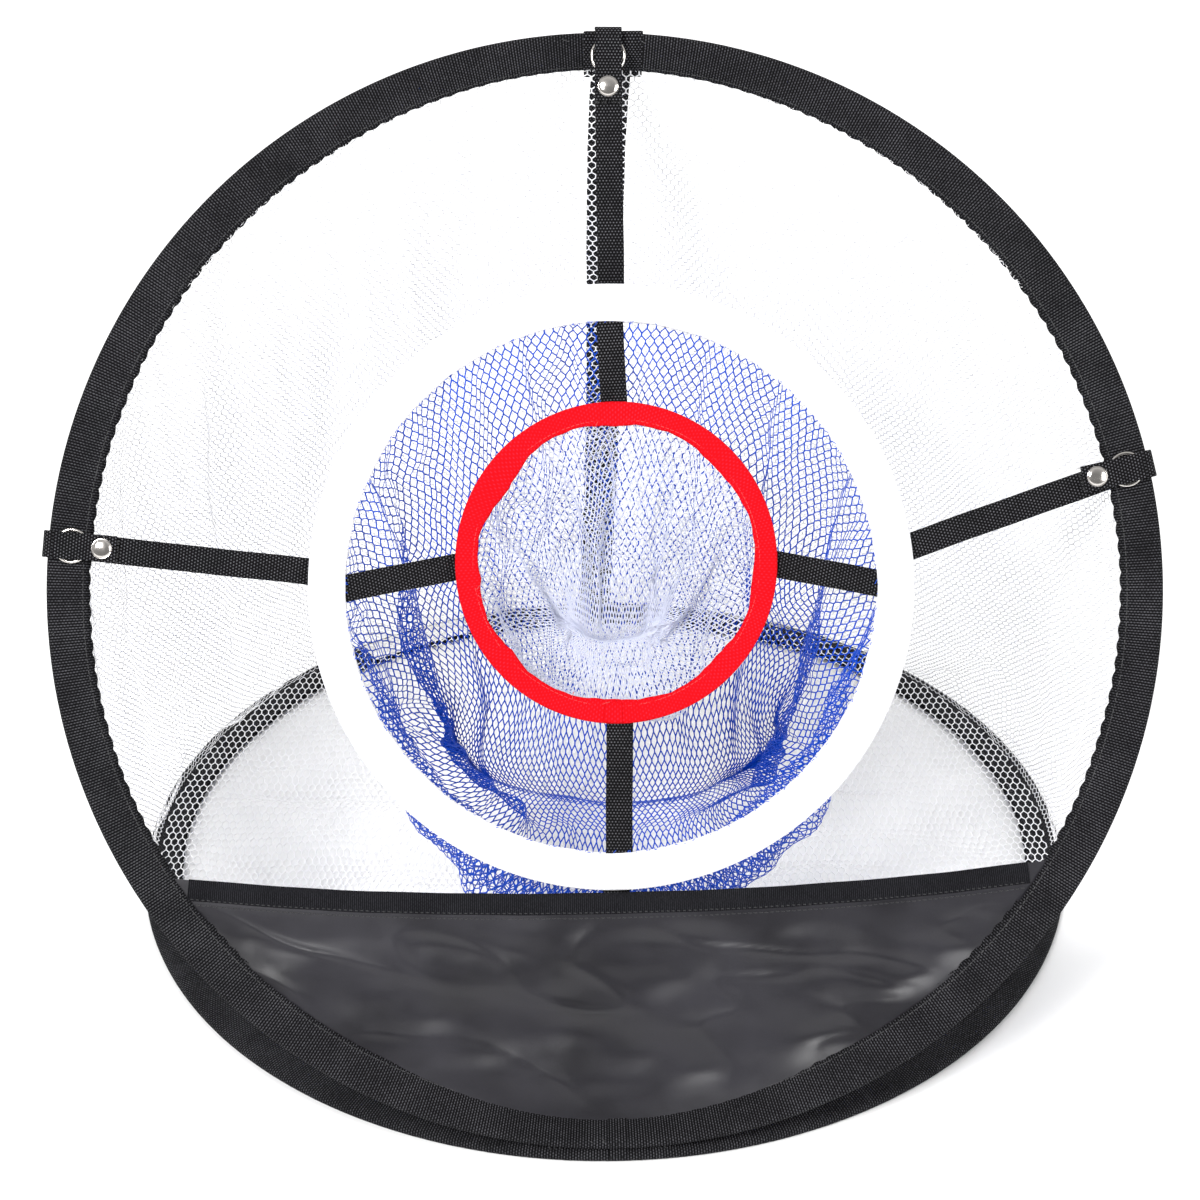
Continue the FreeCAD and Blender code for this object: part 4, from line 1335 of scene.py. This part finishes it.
thread_ends("red_loose_threads", inner_band, red_turns, red_thread, inward=inner_band.depth - 1.5,
            length=6.5, lift=0.1, thread=0.3, seed=83)
thread_ends("black_loose_threads", front_band, black_turns, black_thread, inward=-1.5, length=4.0,
            lift=0.1, thread=0.25, seed=84)


# ---- label and seam


def blank_label():
    """Plain white label sewn along the base binding, following its curve."""
    points = base.piece("blank_label")
    angles = np.unwrap(np.arctan2(points[:, 1], points[:, 0]))
    turn = np.linspace(angles.min(), angles.max(), 90)
    inward = np.array([1.0, 5, 9, 13, 16.8])
    wave = 0.15 * np.sin(turn * 90)[:, None]
    patch_on_band("blank_label", base_band, turn, inward, wave + 0.5, wave + 0.2, turn[0], "base_hoop",
                  white_tape)


def hinge_seam():
    """Whip stitches that tie the two bindings together at the front."""
    box_low, box_high = (np.array(c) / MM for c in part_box("hinge_seam"))
    rng = np.random.default_rng(12)
    parts = []
    for x in np.arange(box_low[0], box_high[0], 2.4):
        centre = np.array([x, (box_low[1] + box_high[1]) / 2, (box_low[2] + box_high[2]) / 2])
        turn = np.linspace(0, TURN * 0.94, 13)
        reach_y, reach_z = 2.4, 3.4
        along = centre[0] + turn / TURN * 1.6 + rng.normal(0, 0.1)
        line = np.stack([along, centre[1] + 0.4 + reach_y * np.cos(turn),
                         centre[2] + 0.3 + reach_z * np.sin(turn)], 1)
        parts.append(thin_rod(line, 0.2))
    add_piece("hinge_seam", join_meshes("hinge_seam", parts), "base_hoop", black_thread)


blank_label()
hinge_seam()


def coat(name, material):
    """Gives a piece of the frame that is kept as it is its material."""
    materials = frame["nodes"][name].data.materials
    materials.clear()
    materials.append(material)


for name in ("front_wire", "base_wire", "middle_ring_wire", "inner_ring_wire"):
    coat(name, steel)
    coat(f"{name}_ferrule", crimped)
for side in ("top", "left", "right"):
    coat(f"snap_socket_{side}", nickel)
    coat(f"snap_stud_{side}", nickel)


# ---- stage, light and camera

FLOOR_SIZE = 14.0
CAMERA_DISTANCE = 1.315
CAMERA_ELEVATION = math.radians(31.5)
CAMERA_AZIMUTH = math.radians(-0.5)
CAMERA_ROLL = math.radians(-0.3)
CAMERA_LENS = 83.0
CAMERA_AIM = np.array([-2.7, 0.0, -3.5])


def build_floor():
    half = FLOOR_SIZE / MM / 2
    corners = np.array([[-half, -half, 0], [half, -half, 0], [half, half, 0], [-half, half, 0]])
    mesh = quad_mesh("floor", corners, [[0, 1, 2, 3]], smooth=False)
    floor = bpy.data.objects.new("floor", mesh)
    bpy.context.scene.collection.objects.link(floor)
    material, tree, shader = new_material("floor", (0.9, 0.9, 0.9), 0.9)
    tone = object_noise(tree, 3)
    tree.links.new(ramp(tree, tone, [(0.3, (0.89,) * 3), (0.7, (0.91,) * 3)]), shader.inputs["Base Color"])
    mesh.materials.append(material)


def area_light(name, place, target, size, power):
    light = bpy.data.lights.new(name, "AREA")
    light.shape = "DISK"
    light.size = size
    light.energy = power
    lamp = bpy.data.objects.new(name, light)
    lamp.location = place
    lamp.rotation_euler = (Vector(target) - Vector(place)).to_track_quat("-Z", "Y").to_euler()
    bpy.context.scene.collection.objects.link(lamp)


def build_world():
    """White all round, but dimmer behind the camera."""
    world = bpy.data.worlds.new("studio")
    world.use_nodes = True
    tree = world.node_tree
    background = tree.nodes["Background"]
    place = node(tree, "ShaderNodeTexCoord")
    split = node(tree, "ShaderNodeSeparateXYZ")
    tree.links.new(place.outputs["Generated"], split.inputs["Vector"])
    backward = math_node(tree, "MULTIPLY_ADD", split.outputs["Y"], 0.5)
    backward.node.inputs[2].default_value = 0.5
    tree.links.new(ramp(tree, backward, [(0.1, (0.4,) * 3), (0.36, (1.0,) * 3)]), background.inputs["Color"])
    background.inputs["Strength"].default_value = 0.72
    bpy.context.scene.world = world


def build_camera():
    data = bpy.data.cameras.new("camera")
    data.lens = CAMERA_LENS
    data.sensor_width = 36
    camera = bpy.data.objects.new("camera", data)
    target = Vector((front.centre + CAMERA_AIM) * MM)
    back = Vector((math.sin(CAMERA_AZIMUTH) * math.cos(CAMERA_ELEVATION),
                   -math.cos(CAMERA_AZIMUTH) * math.cos(CAMERA_ELEVATION), math.sin(CAMERA_ELEVATION)))
    camera.location = target + back * CAMERA_DISTANCE
    camera.rotation_euler = (-back).to_track_quat("-Z", "Y").to_euler()
    camera.rotation_euler.rotate_axis("Z", CAMERA_ROLL)
    bpy.context.scene.collection.objects.link(camera)
    bpy.context.scene.camera = camera


build_floor()
area_light("key", (-0.9, -1.6, 1.7), (0, 0, 0.15), size=0.7, power=56)
area_light("fill", (1.5, -1.3, 1.0), (0, 0, 0.2), size=1.2, power=20)
area_light("back", (0.3, 1.8, 1.6), (0, 0, 0.1), size=1.6, power=26)
build_world()
build_camera()
bpy.context.scene.view_settings.view_transform = "Standard"
